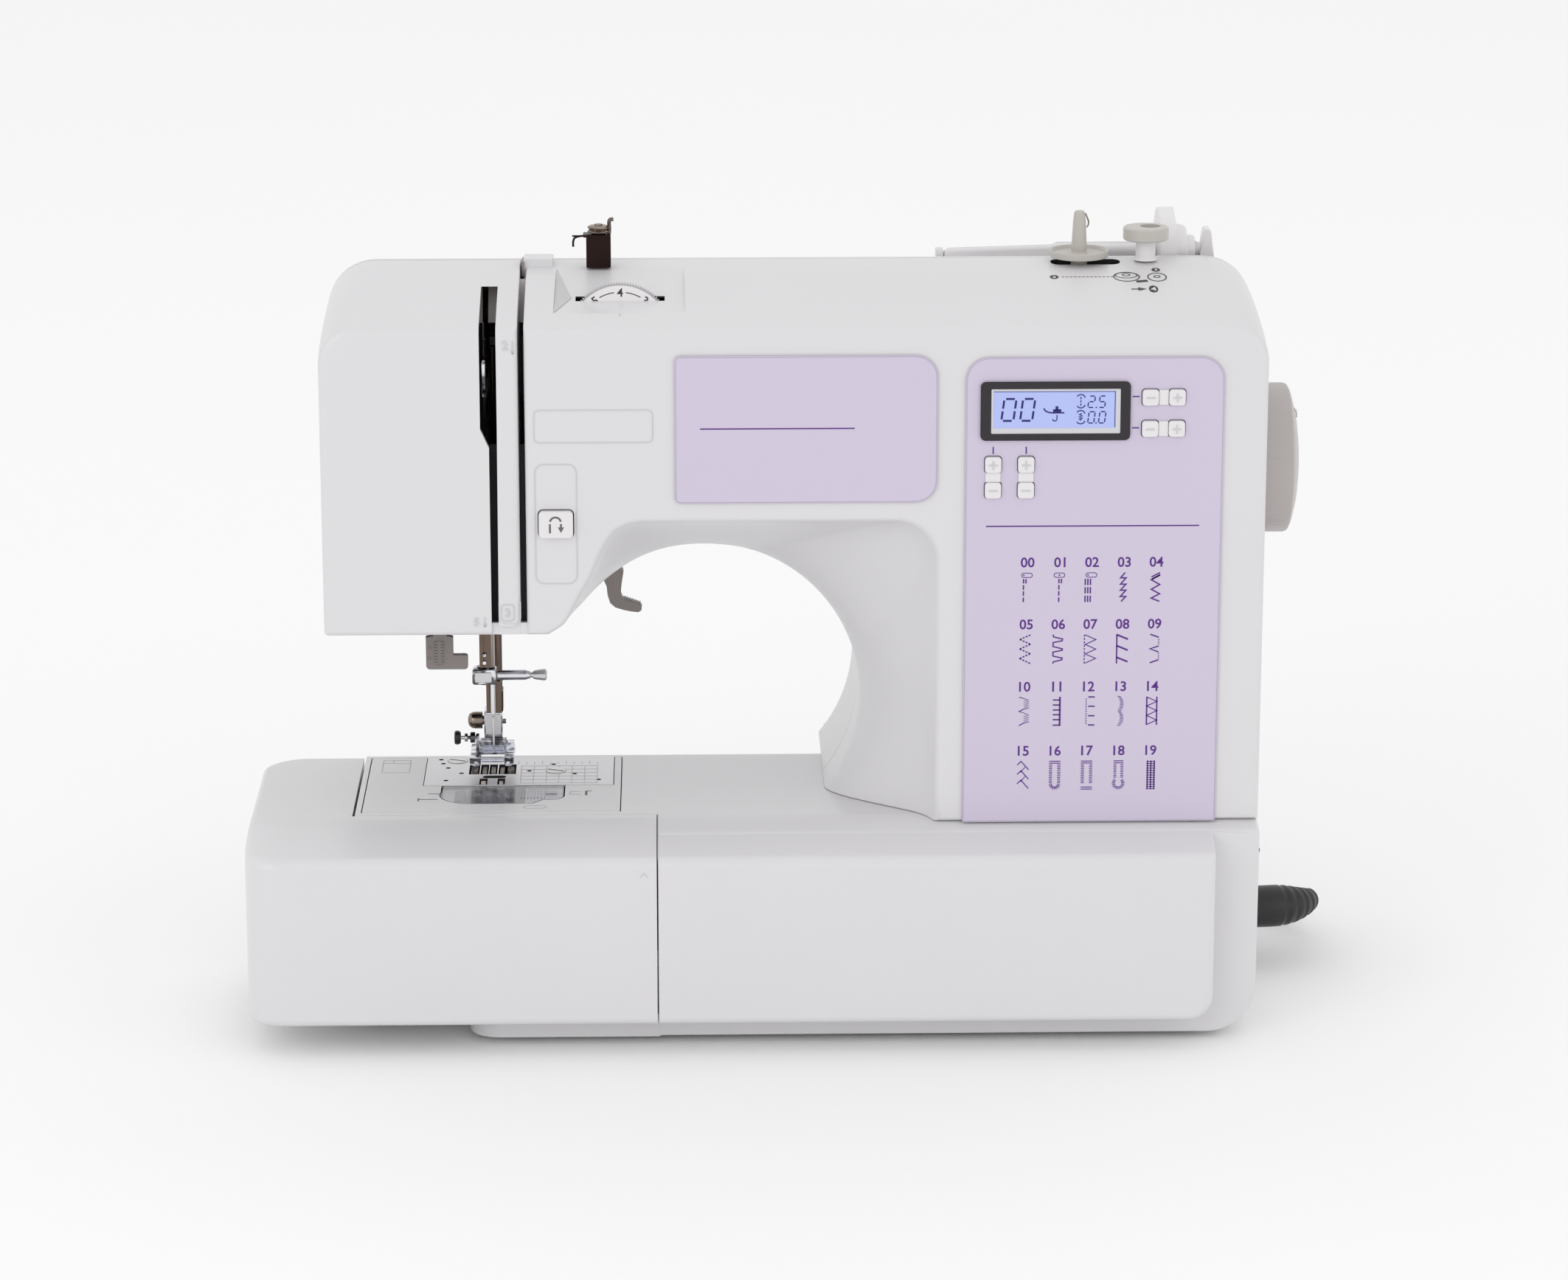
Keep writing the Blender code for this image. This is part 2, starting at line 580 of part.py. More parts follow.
def plates(mats):
    """Needle plate, the white unit round it and the clear bobbin cover."""
    plate = body("needle_plate", block(-140, -64.6, -15.2, 24.2, PLATE_TOP - 1.2, PLATE_TOP), mats["steel"], bevel=0.2)
    nx, ny = NEEDLE
    combine(plate, prism(round_box(nx - 4.6, nx + 4.8, ny - 2.4, ny + 2.4, (2, 2, 2, 2), 3), "z", 80, 95))
    for x0, x1, y0, y1 in feed_bars():
        combine(plate, block(x0 - 0.6, x1 + 0.6, y0 - 2.6, y1 + 2.6, 80, 95))
    rim = body("plate_surround", block(-162.5, -61.6, -51, 24.3, 84.6, BED), mats["white"], bevel=0.3)
    window = [(-140.3, -15.4), (-132.9, -15.4)] + arc(-120.6, -27.6, 12.7, 165, 270, 6)
    window += [(-96, -40.3), (-92, -35.3), (-83.6, -35.3), (-83.6, -15.4), (-64.3, -15.4), (-64.3, 21), (-140.3, 21)]
    combine(rim, prism(window, "z", 80, 86.9))
    step = window[:-2] + [(-64.3, 24.5), (-140.3, 24.5)]
    combine(rim, prism(step, "z", 86.8, 95))
    cover = [(-132.2, -15.8)] + arc(-120.6, -27.6, 12.2, 165, 270, 6)
    cover += [(-96.3, -39.8), (-92.3, -34.8), (-84.1, -34.8), (-84.1, -15.8)]
    body("bobbin_cover", prism(cover, "z", 87.1, BED), mats["clear"], (-108, -27, BED), 0.3)


def feed_bars():
    """The feed dog's rows of teeth as x and y spans."""
    rows = [(-122, -119), (-117.4, -115.4), (-113.9, -111.9), (-110.2, -108.4), (-107.3, -104.4)]
    spans = [(x0, x1, 2.4, 11) for x0, x1 in rows]
    spans += [(x0, x1, -12, -8.8) for x0, x1 in (rows[1], rows[3])]
    return spans


def feed_dog(mat):
    """Toothed plate that moves the cloth, with its rows of teeth."""
    obj = body("feed_dog", block(-123, -103.6, -12.6, 14, 80, 82), mat)
    combine(obj, block(-118.5, -106.5, -7.6, 0.6, 78, 84))
    for x0, x1, y0, y1 in feed_bars():
        combine(obj, block(x0, x1, y0, y1, 81.5, PLATE_TOP + 0.1), "UNION")
    obj.data.transform(Matrix.Translation(-Vector((-113, 0, 81)) * MM))
    obj.location = Vector((-113, 0, 81)) * MM


def hook_parts(mats):
    """Rotary hook, bobbin case and bobbin, all on the hook's upright axis."""
    hx, hy = HOOK
    cup = [(0, 52), (3, 52), (3, 59), (16.3, 59), (16.3, 77), (15, 77), (15, 61), (0, 61)]
    body("rotary_hook", turned(cup, (hx, hy, 0), "z", 28), mats["steel"], (hx, hy, 60))
    case = [(0, 61.4), (14.5, 61.4), (14.5, 79), (12.2, 79), (12.2, 63.4), (0, 63.4)]
    body("bobbin_case", turned(case, (hx, hy, 0), "z", 28), mats["black"], (hx, hy, 62))
    spool = [(3, 64), (10.3, 64), (10.3, 65.2), (4.6, 65.6), (4.6, 74.2), (10.3, 74.6), (10.3, 75.6), (3, 75.6)]
    body("bobbin", turned(spool, (hx, hy, 0), "z", 28), mats["clear"], (hx, hy, 70))


# ---------------------------------------------------------------- drive

def drive(mats):
    """Handwheel, shafts, motor and belts."""
    x0, x1 = WHEEL_X
    r = WHEEL_R
    wheel = [(0, x0), (r - 2, x0), (r, x0 + 1.6), (r, x1 - 5.4), (r - 1.8, x1 - 3.8), (r - 9, x1 - 1.6),
             (r - 17, x1 - 0.4), (8, x1), (0, x1)]
    body("handwheel", turned(wheel, (0, SHAFT_Y, SHAFT_Z), "x", 48), mats["wheel"], (x0, SHAFT_Y, SHAFT_Z))
    shaft = [(0, -108), (9, -108), (9, -103), (4, -103), (4, 157), (16, 157), (16, 165), (4, 165),
             (4, 171), (10, 171), (10, 180), (4, 180), (4, x0 - GAP), (0, x0 - GAP)]
    body("upper_shaft", turned(shaft, (0, SHAFT_Y, SHAFT_Z), "x", 24), mats["steel"], (-108, SHAFT_Y, SHAFT_Z))
    lower = [(0, -92), (9, -92), (9, -86), (4, -86), (4, 171), (10, 171), (10, 180), (0, 180)]
    body("lower_shaft", turned(lower, (0, LOWER_Y, LOWER_Z), "x", 24), mats["steel"], (-92, LOWER_Y, LOWER_Z))
    motor = [(0, 92), (20, 92), (22, 94), (22, 148), (20, 150), (0, 150)]
    body("drive_motor", turned(motor, (0, SHAFT_Y, MOTOR_Z), "x", 28), mats["dark"])
    pulley = [(0, 150.3), (3, 150.3), (3, 157), (8, 157), (8, 165), (0, 165)]
    body("motor_pulley", turned(pulley, (0, SHAFT_Y, MOTOR_Z), "x", 24), mats["steel"], (157, SHAFT_Y, MOTOR_Z))
    belt("motor_belt", (SHAFT_Y, SHAFT_Z), 16, (SHAFT_Y, MOTOR_Z), 8, 157.5, 164.5, mats["black"])
    belt("timing_belt", (SHAFT_Y, SHAFT_Z), 10, (LOWER_Y, LOWER_Z), 10, 171.5, 179.5, mats["black"])


def belt(name, a, ra, b, rb, x0, x1, mat):
    """A closed band round two pulleys in a plane across the machine."""
    reach = math.dist(a, b)
    heading = math.degrees(math.atan2(b[1] - a[1], b[0] - a[0]))
    lean = math.degrees(math.acos((ra - rb) / reach))

    def loop(grow):
        """One side of the band."""
        first = arc(*a, ra + grow, heading + lean, heading - lean + 360, 12)
        return first + arc(*b, rb + grow, heading - lean, heading + lean, 8)

    rings = [[(x, y, z) for y, z in loop(g)] for x, g in ((x0, 0.4), (x0, 1.6), (x1, 1.6), (x1, 0.4))]
    count = len(rings[0])
    points = [p for ring in rings for p in ring]
    faces = []
    for k in range(4):
        u, w = k * count, ((k + 1) % 4) * count
        faces += [(u + i, u + (i + 1) % count, w + (i + 1) % count, w + i) for i in range(count)]
    body(name, (points, faces), mat)


def chassis(mat):
    """Frame plate from the head through the column to the free arm."""
    outline = [(-158, 46), (178, 46), (178, 262), (-160, 262), (-160, 236), (152, 236), (152, 70), (-158, 70)]
    body("chassis", prism(outline, "y", 26, 31), mat)


# ---------------------------------------------------------------- top

def top_parts(mats):
    """Tension dial, thread guide, winder, spool pin, spool cap and handle."""
    dial = [(0, -4), (DIAL_R - 0.8, -4), (DIAL_R, -3.2), (DIAL_R, 3.2), (DIAL_R - 0.8, 4), (0, 4)]
    knob = body("tension_dial", turned(dial, (0, 0, 0), "y", 40), mats["key"])
    knob.data.transform(Matrix.Rotation(-DIAL_TILT, 4, "X"))
    knob.location = Vector(DIAL) * MM

    post = [(-73.2, 305.2), (-70.6, 303.6), (-70.6, 297.3), (-66, 297.3), (-66, 303.6), (-63.7, 305.2),
            (-63.7, 309.4), (-73.2, 309.4)]
    guide = body("thread_guide", prism(post, "y", -14, -8), mats["dark"])
    combine(guide, turned([(0, 308), (4.2, 308), (4.2, 312), (3.4, 314.4), (0, 314.4)], (-68.4, -11, 0), "z", 20),
            "UNION")

    seat = [(0, 284), (3.2, 284), (3.2, 298.9), (11.6, 298.9), (11.6, 301.8), (3, 302.4), (2.9, 309),
            (2.3, 316), (1.4, 317.2), (0, 317.2)]
    body("winder_shaft", turned(seat, (WINDER_X, WINDER_Y, 0), "z", 28), mats["beige"], (WINDER_X, WINDER_Y, 300))
    stop = [(0, 297.8), (3.9, 297.8), (3.9, 305.8), (8.9, 305.8), (8.9, 310.8), (0, 310.8)]
    body("winder_stop", turned(stop, (STOP_X, WINDER_Y, 0), "z", 28), mats["beige"])

    pin = body("spool_pin", rod(2.6, 100, 170, (0, SPOOL_Y, SPOOL_Z), "x", 20), mats["white"])
    combine(pin, prism([(24.5, 276.3), (32.5, 276.3), (32.5, 303), (31, 304.5), (26, 304.5), (24.5, 303)],
                       "x", 168.3, 175.4), "UNION")
    cap = [(3, 152.2), (16, 152.2), (17.5, 153.6), (17.5, 157.8), (16, 159.2), (10.5, 159.2), (10.5, 167), (3, 167)]
    body("spool_cap", turned(cap, (0, SPOOL_Y, SPOOL_Z), "x", 36), mats["key"], (159, SPOOL_Y, SPOOL_Z))

    z0, z1 = HANDLE_Z - 4, HANDLE_Z + 4
    grip = body("carry_handle", prism(round_box(69, 165, HANDLE_Y - 3.5, 84.5, (1, 1, 7, 7), 3), "z", z0, z1),
                mats["white"], bevel=0.8)
    combine(grip, prism(round_box(76.5, 157.5, HANDLE_Y + 4, 77, (2, 2, 4, 4), 3), "z", z0 - 5, z1 + 5))
    pivot = Vector((117, HANDLE_Y, HANDLE_Z)) * MM
    grip.data.transform(Matrix.Translation(-pivot))
    grip.location = pivot


# ---------------------------------------------------------------- mains lead

def spline_points(route, step):
    """Points every step along a smooth curve through a route (Catmull-Rom)."""
    pts = [Vector(p) for p in route]
    pts = [2 * pts[0] - pts[1]] + pts + [2 * pts[-1] - pts[-2]]
    fine = []
    for k in range(1, len(pts) - 2):
        a, b, c, d = pts[k - 1:k + 3]
        for i in range(12):
            t = i / 12
            fine.append(0.5 * (2 * b + (c - a) * t + (2 * a - 5 * b + 4 * c - d) * t * t
                               + (3 * b - 3 * c + d - a) * t ** 3))
    fine.append(pts[-2])
    kept, run = [fine[0]], 0.0
    for p, q in zip(fine, fine[1:]):
        run += (q - p).length
        if run >= step:
            kept.append(q)
            run = 0.0
    kept[-1] = fine[-1]
    return kept


def swept(route, radii, sides=12):
    """A round rod of changing radius along a route."""
    path = [Vector(p) for p in route]
    rings = []
    for k, here in enumerate(path):
        way = (path[min(k + 1, len(path) - 1)] - path[max(k - 1, 0)]).normalized()
        side = way.cross(Vector((0, 0, 1))).normalized()
        rise = side.cross(way)
        ring = []
        for i in range(sides):
            angle = 2 * math.pi * i / sides
            ring.append(tuple(here + radii[k] * (side * math.cos(angle) + rise * math.sin(angle))))
        rings.append(ring)
    return loft(rings)


def mains_lead(mats):
    """Connector with its strain relief, the cord, the coil and the plug."""
    path = spline_points(CONNECTOR_ROUTE, 3.0)
    radii = [8.6 if k < 6 else 8.6 - 4.6 * min((k - 6) / (len(path) - 7), 1) for k in range(len(path))]
    body("power_connector", swept(path, radii, 14), mats["black"])

    curve = bpy.data.curves.new("power_cord", "CURVE")
    curve.dimensions = "3D"
    curve.bevel_depth = CORD_D / 2 * MM
    curve.bevel_resolution = 2
    curve.use_fill_caps = True
    points = spline_points(CORD_ROUTE, 14)
    spline = curve.splines.new("POLY")
    spline.points.add(len(points) - 1)
    for spot, p in zip(spline.points, points):
        spot.co = (*(p * MM), 1)
    curve.materials.append(mats["black"])
    bpy.context.collection.objects.link(bpy.data.objects.new("power_cord", curve))

    ring = [(COIL_R_IN, 1.5), (COIL_R_IN + 1.5, 0.2), (COIL_R_OUT - 1.5, 0.2), (COIL_R_OUT, 1.5),
            (COIL_R_OUT, COIL_H - 1.5), (COIL_R_OUT - 1.5, COIL_H), (COIL_R_IN + 1.5, COIL_H), (COIL_R_IN, COIL_H - 1.5)]
    body("cord_coil", turned(ring, (*COIL, 0), "z", 32), mats["black"])

    cx, cy = COIL
    y = cy + COIL_R_OUT + 4.4
    plug_path = [(cx + 2 + 3 * k, y, 9.5) for k in range(18)]
    plug_r = [3.6, 3.8, 4.1, 4.4, 4.7, 5, 5.4] + [9.3] * 9 + [9.1, 8.4]
    plug = body("mains_plug", swept(plug_path, plug_r, 14), mats["black"])
    for dy in (-6.35, 6.35):
        combine(plug, block(cx + 50, cx + 70, y + dy - 0.8, y + dy + 0.8, 6.3, 12.7), "UNION")


# ---------------------------------------------------------------- all

def make_materials():
    """Every colour of the machine."""
    return {
        "white": material("off_white_plastic", (0.72, 0.71, 0.73), 0.35),
        "lilac": material("lilac_panel", (0.62, 0.54, 0.72), 0.4),
        "key": material("key_plastic", (0.66, 0.65, 0.67), 0.35),
        "dark": material("dark_plastic", (0.035, 0.03, 0.035), 0.35),
        "display": material("display_blue", (0.38, 0.48, 0.82), 0.2),
        "board": material("circuit_board", (0.03, 0.16, 0.06), 0.6),
        "steel": material("polished_steel", (0.6, 0.6, 0.6), 0.25, 1.0),
        "needle": material("needle_steel", (0.7, 0.7, 0.7), 0.15, 1.0),
        "cast": material("cast_aluminium", (0.45, 0.45, 0.46), 0.55, 1.0),
        "grey": material("grey_lever", (0.24, 0.22, 0.215), 0.4),
        "beige": material("beige_winder", (0.5, 0.47, 0.43), 0.4),
        "wheel": material("handwheel_grey", (0.43, 0.4, 0.39), 0.4),
        "clear": material("clear_plastic", (0.8, 0.82, 0.84), 0.1, 0.0, 0.4),
        "black": material("black_rubber", (0.015, 0.015, 0.016), 0.5),
    }


def main():
    """Build every piece."""
    clear_scene()
    mats = make_materials()
    front_housing(mats["white"])
    rear_housing(mats["white"])
    face_cover(mats["white"])
    base_housing(mats["white"])
    bottom_plate(mats["dark"])
    for name, y in (("foot_front_left", -50), ("foot_back_left", 46)):
        body(name, rod(8, 0, BASE_BOTTOM - GAP, (-108, y, 0)), mats["black"])
    accessory_table(mats["white"])
    panels(mats)
    keys(mats)
    power_switch(mats["black"])
    needle_group(mats)
    presser_group(mats)
    levers(mats)
    plates(mats)
    feed_dog(mats["steel"])
    hook_parts(mats)
    drive(mats)
    chassis(mats["cast"])
    top_parts(mats)
    mains_lead(mats)


main()
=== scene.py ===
"""Looks of a free-arm household sewing machine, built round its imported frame.

The shape functions work in millimetres; a mesh turns them into metres when it is made.
x runs left to right, y front to back, z up, and the machine stands on z = 0.
A shape is a pair: an array of points, and a list of (faces, tint) blocks, where tint picks the material.
"""

import math

import bmesh
import bpy
import numpy as np
from bpy.props import FloatProperty, FloatVectorProperty, IntProperty, PointerProperty
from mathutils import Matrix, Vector


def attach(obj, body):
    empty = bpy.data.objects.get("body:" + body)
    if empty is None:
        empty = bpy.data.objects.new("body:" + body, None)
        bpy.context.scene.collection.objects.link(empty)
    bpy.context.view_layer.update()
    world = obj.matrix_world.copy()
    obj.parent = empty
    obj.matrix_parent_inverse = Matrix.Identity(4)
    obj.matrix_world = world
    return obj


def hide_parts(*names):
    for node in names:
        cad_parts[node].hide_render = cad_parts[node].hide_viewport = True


bl_info = {
    "name": "Household Sewing Machine",
    "version": (1, 0, 0),
    "blender": (4, 5, 0),
    "location": "View3D > Sidebar > Sewing",
    "description": "Builds the looks of a free-arm sewing machine round its frame",
    "category": "Object",
}

MM = 0.001
ROOT = "machine"
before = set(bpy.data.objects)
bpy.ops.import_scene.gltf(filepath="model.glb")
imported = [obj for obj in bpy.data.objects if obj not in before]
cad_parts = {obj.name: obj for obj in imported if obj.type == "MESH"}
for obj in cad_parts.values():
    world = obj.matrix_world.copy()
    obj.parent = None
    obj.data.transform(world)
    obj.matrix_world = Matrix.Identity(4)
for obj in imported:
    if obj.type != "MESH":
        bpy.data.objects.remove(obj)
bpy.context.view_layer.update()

# Sizes shared with the frame, in millimetres
WALL = 2.5
LEFT, RIGHT, FRONT, BACK, PARTING = -174.5, 187.0, -65.0, 67.0, 2.7
RIDGE, CREST, HEAD_BOTTOM = 283.5, 297.5, 163.5
ARCH_CENTRE, ARCH_R, ARCH_DEEP = np.array((-28.5, 127.5)), 61.5, -19.0
HOUSING_LEFT, COVER_RIGHT = -96.5, -98.9
BED, BASE_FRONT, BASE_BACK, BASE_BOTTOM = 88.5, -87.0, 87.0, 2.5
PAD_RIGHT, PAD_BOTTOM, PAD_BACK = 168.8, 12.3, -72.0
SLOPE_START, SLOPE_DROP, SLOPE_POWER = -56.0, 9.5, 1.5
SEAM, STEP_X, GAP = -47.0, 22.0, 0.3
ARM_LEFT, ARM_FRONT, ARM_BACK, ARM_BOTTOM = -165.0, -54.6, 36.0, 30.0
TABLE_LEFT, TABLE_BACK = -206.5, 28.0
NEEDLE, NEEDLE_BAR_X, PRESSER, HOOK = (-112.3, -3.7), -114.0, (-111.0, 9.0), (-110.0, -22.0)
PLATE_TOP, FOOT_BOTTOM = 88.8, 96.0
SHAFT_Y, SHAFT_Z, WHEEL_R, WHEEL_X = 1.0, 217.3, 29.5, (189.4, 206.5)
WINDER_X, WINDER_Y, STOP_X = 118.7, -4.0, 144.7
DIAL, DIAL_R, DIAL_TILT = (-60.0, -44.0, 277.0), 19.7, math.radians(20)
SPOOL_Y, SPOOL_Z, HANDLE_Y, HANDLE_Z = 28.5, 296.0, 53.5, 288.5
TROUGH = (78.0, 184.5, 9.5, 47.5, 276.0)
KEY = 6.3
KEYS = {
    "width_minus_key": (141.7, 256.3),
    "width_plus_key": (151.9, 256.3),
    "length_minus_key": (141.7, 244.1),
    "length_plus_key": (151.9, 244.1),
    "tens_plus_key": (82.0, 230.3),
    "tens_minus_key": (82.0, 220.3),
    "units_plus_key": (94.6, 230.3),
    "units_minus_key": (94.6, 220.3),
}
REVERSE = (-91.5, -78.4, 202.5, 213.0)
CORD_D = 6.2
COIL, COIL_R_IN, COIL_R_OUT = (120.0, 143.0), 24.6, 43.4
CONNECTOR_ROUTE = (
    (187.6, 21, 24), (197, 21, 24), (206, 22, 24), (213.6, 25.4, 23.6), (219.6, 32, 22.9), (221.5, 42, 21.1),
)
CORD_ROUTE = (
    (221.6, 42.9, 20.9), (221.4, 49, 19.4), (220.4, 57, 17), (217.4, 66, 13.6), (212.4, 75.4, 10.4),
    (205.4, 83.6, 7.6), (196.6, 90, 5.4), (186.6, 94, 4.2), (175.6, 95.9, 3.6), (164, 96.3, 3.4),
    (152, 96.3, 3.3), (140, 96.2, 3.3), (130, 96.2, 3.3), (121.5, 96.2, 3.3),
)


# ---- settings

class SewingLooks(bpy.types.PropertyGroup):
    """Sizes and colours that a user would change."""

    shell_colour: FloatVectorProperty(
        name="Body", description="Colour of the body's moulded plastic",
        subtype="COLOR", size=3, min=0, max=1, default=(0.70, 0.69, 0.703))
    panel_colour: FloatVectorProperty(
        name="Panels", description="Colour of the two printed panels",
        subtype="COLOR", size=3, min=0, max=1, default=(0.61, 0.548, 0.682))
    print_colour: FloatVectorProperty(
        name="Print", description="Colour of the stitch chart and the panel lines",
        subtype="COLOR", size=3, min=0, max=1, default=(0.095, 0.014, 0.23))
    wheel_colour: FloatVectorProperty(
        name="Handwheel", description="Colour of the handwheel",
        subtype="COLOR", size=3, min=0, max=1, default=(0.465, 0.43, 0.42))
    edge_radius: FloatProperty(
        name="Edge radius", description="Rounding where the body's front face turns back",
        subtype="DISTANCE", unit="LENGTH", min=0.0005, max=0.0035, default=0.0022)
    print_lift: FloatProperty(
        name="Print thickness", description="How far the printed marks stand proud",
        subtype="DISTANCE", unit="LENGTH", min=0.00002, max=0.0003, default=0.00006)
    cord_turns: IntProperty(
        name="Cord turns", description="Turns in the stored coil of the mains lead",
        min=3, max=8, default=6)


# ---- outlines

def arc(cu, cv, radius, start, end, steps):
    """Points on an arc, both ends included: centre plus radius times (cos, sin), angles in degrees."""
    turn = np.radians(np.linspace(start, end, steps + 1))
    return np.c_[cu + radius * np.cos(turn), cv + radius * np.sin(turn)]


def full_turn(count):
    """Angles of equal steps once round a circle."""
    return 2 * math.pi * np.arange(count) / count


def round_box(u0, u1, v0, v1, radii, steps=6):
    """A rectangle with a quarter arc in each corner, anticlockwise from the low-left one."""
    a, b, c, d = (radii,) * 4 if np.isscalar(radii) else radii
    return np.vstack((
        arc(u0 + a, v0 + a, a, 180, 270, steps), arc(u1 - b, v0 + b, b, 270, 360, steps),
        arc(u1 - c, v1 - c, c, 0, 90, steps), arc(u0 + d, v1 - d, d, 90, 180, steps)))


def inset(outline, distance):
    """An anticlockwise outline moved inwards: each point goes along the mitre of its two edges' normals."""
    outline = np.asarray(outline, float)
    before = outline - np.roll(outline, 1, 0)
    after = np.roll(outline, -1, 0) - outline
    before /= np.linalg.norm(before, axis=1)[:, None]
    after /= np.linalg.norm(after, axis=1)[:, None]
    mitre = np.c_[-before[:, 1] - after[:, 1], before[:, 0] + after[:, 0]]
    mitre /= np.maximum((mitre ** 2).sum(1) / 2, 0.5)[:, None]
    return outline + mitre * distance


def anticlockwise(outline):
    """The outline, turned round if it runs clockwise: its shoelace area is then positive."""
    outline = np.asarray(outline, float)
    after = np.roll(outline, -1, 0)
    area = (outline[:, 0] * after[:, 1] - after[:, 0] * outline[:, 1]).sum()
    return outline if area > 0 else outline[::-1]


def smooth(t):
    """Ease from 0 to 1: 3t^2 - 2t^3, held flat outside."""
    t = np.clip(t, 0.0, 1.0)
    return t * t * (3 - 2 * t)


def eased(values, at, knots=None):
    """Monotone cubic Hermite through values at knots (0, 1, 2... by default): it never swings past them."""
    values = np.asarray(values, float)
    knots = np.arange(len(values), dtype=float) if knots is None else np.asarray(knots, float)
    step = np.diff(knots)
    slope = np.diff(values) / step
    product, total = slope[:-1] * slope[1:], slope[:-1] + slope[1:]
    inner = np.where(product > 0, 2 * product / np.where(product > 0, total, 1.0), 0.0)
    grad = np.concatenate((slope[:1], inner, slope[-1:]))
    at = np.asarray(at, float)
    k = np.clip(np.searchsorted(knots, at, side="right") - 1, 0, len(step) - 1)
    t = (at - knots[k]) / step[k]
    return ((1 + 2 * t) * (1 - t) ** 2 * values[k] + t * (1 - t) ** 2 * step[k] * grad[k]
            + t * t * (3 - 2 * t) * values[k + 1] + t * t * (t - 1) * step[k] * grad[k + 1])


def spline(route, per_span=8):
    """Catmull-Rom curve through a route, as an array with per_span points for each span."""
    route = np.asarray(route, float)
    pts = np.vstack((2 * route[0] - route[1], route, 2 * route[-1] - route[-2]))
    t = (np.arange(per_span) / per_span)[None, :, None]
    a, b, c, d = (pts[k:len(pts) - 3 + k, None, :] for k in range(4))
    curve = 0.5 * (2 * b + (c - a) * t + (2 * a - 5 * b + 4 * c - d) * t ** 2
                   + (3 * b - 3 * c + d - a) * t ** 3)
    return np.vstack((curve.reshape(-1, route.shape[1]), route[-1:]))


# ---- shapes

def net(rings, close=False, tint=0, tint_rows=None):
    """Quads between equal rings, rows of a grid that wraps round, with flat caps at both ends unless they join.

    tint_rows gives each row of quads its own tint; the caps take those of the first and the last row.
    """
    rings = np.asarray(rings, float)
    rows, count = rings.shape[:2]
    k = np.arange(rows if close else rows - 1)[:, None]
    i = np.arange(count)[None, :]
    a, b = k * count + i, k * count + (i + 1) % count
    c, d = (k + 1) % rows * count + (i + 1) % count, (k + 1) % rows * count + i
    quads = np.stack((a, b, c, d), -1)
    tints = np.full(len(quads), tint) if tint_rows is None else np.asarray(tint_rows)
    blocks = [(quads[tints == t].reshape(-1, 4), int(t)) for t in np.unique(tints)]
    if not close:
        blocks.append((np.arange(count)[None, ::-1], int(tints[0])))
        blocks.append(((rows - 1) * count + np.arange(count)[None], int(tints[-1])))
    return rings.reshape(-1, 3), blocks


def join(*shapes):
    """Several shapes as one."""
    points, blocks, start = [], [], 0
    for pts, parts in shapes:
        points.append(pts)
        blocks += [(faces + start, tint) for faces, tint in parts]
        start += len(pts)
    return np.vstack(points), blocks


def tinted(shape, tint):
    """The same shape in another of its object's materials."""
    return shape[0], [(faces, tint) for faces, _ in shape[1]]


def stand(outline, level, axis):
    """An outline's (u, v) put at a level along an axis: yz for x, xz for y, xy for z."""
    outline = np.asarray(outline, float)
    level = np.full(len(outline), level, float)
    columns = {"x": (level, outline[:, 0], outline[:, 1]), "y": (outline[:, 0], level, outline[:, 1]),
               "z": (outline[:, 0], outline[:, 1], level)}[axis]
    return np.stack(columns, 1)


def prism(outline, axis, low, high, tint=0, edge=0.0, steps=3):
    """An outline carried along an axis; edge rounds both ends by quarter circles of inset outlines."""
    if not edge:
        return net([stand(outline, w, axis) for w in (low, high)], tint=tint)
    outline = anticlockwise(outline)
    turn = np.linspace(0, math.pi / 2, steps + 1)
    rise, shrink = edge * (1 - np.cos(turn)), edge * (1 - np.sin(turn))
    rings = [stand(inset(outline, s), low + r, axis) for r, s in zip(rise, shrink)]
    rings += [stand(inset(outline, s), high - r, axis) for r, s in zip(rise[::-1], shrink[::-1])]
    return net(rings, tint=tint)


def block(x0, x1, y0, y1, z0, z1, tint=0):
    """A box from its two corners."""
    return prism([(x0, y0), (x1, y0), (x1, y1), (x0, y1)], "z", z0, z1, tint)


def pad(x0, x1, y0, y1, z0, z1, axis="y", corner=1.0, edge=0.5, tint=0):
    """A box with round corners seen along an axis and rounded ends."""
    spans = {"x": (y0, y1, z0, z1, x0, x1), "y": (x0, x1, z0, z1, y0, y1),
             "z": (x0, x1, y0, y1, z0, z1)}[axis]
    return prism(round_box(*spans[:4], corner), axis, spans[4], spans[5], tint, edge)


def turned(profile, centre, axis="z", sides=48, close=False, tint=0):
    """(radius, height) pairs carried round an axis; a profile clear of the axis can close into a ring."""
    profile = np.asarray(profile, float)
    turn = full_turn(sides)
    radius, height = profile[:, 0, None], profile[:, 1, None] + 0 * turn
    around, across = radius * np.cos(turn), radius * np.sin(turn)
    columns = {"z": (around, across, height), "x": (height, around, across),
               "y": (around, height, across)}[axis]
    return net(np.stack(columns, -1) + np.asarray(centre, float), close, tint)


def rod(radius, low, high, centre, axis="z", sides=32, edge=0.0, tint=0):
    """A round rod between two heights on an axis, its ends chamfered by edge."""
    profile = [(radius - edge, low), (radius, low + edge), (radius, high - edge), (radius - edge, high)]
    return turned(profile if edge else profile[1:3], centre, axis, sides, tint=tint)


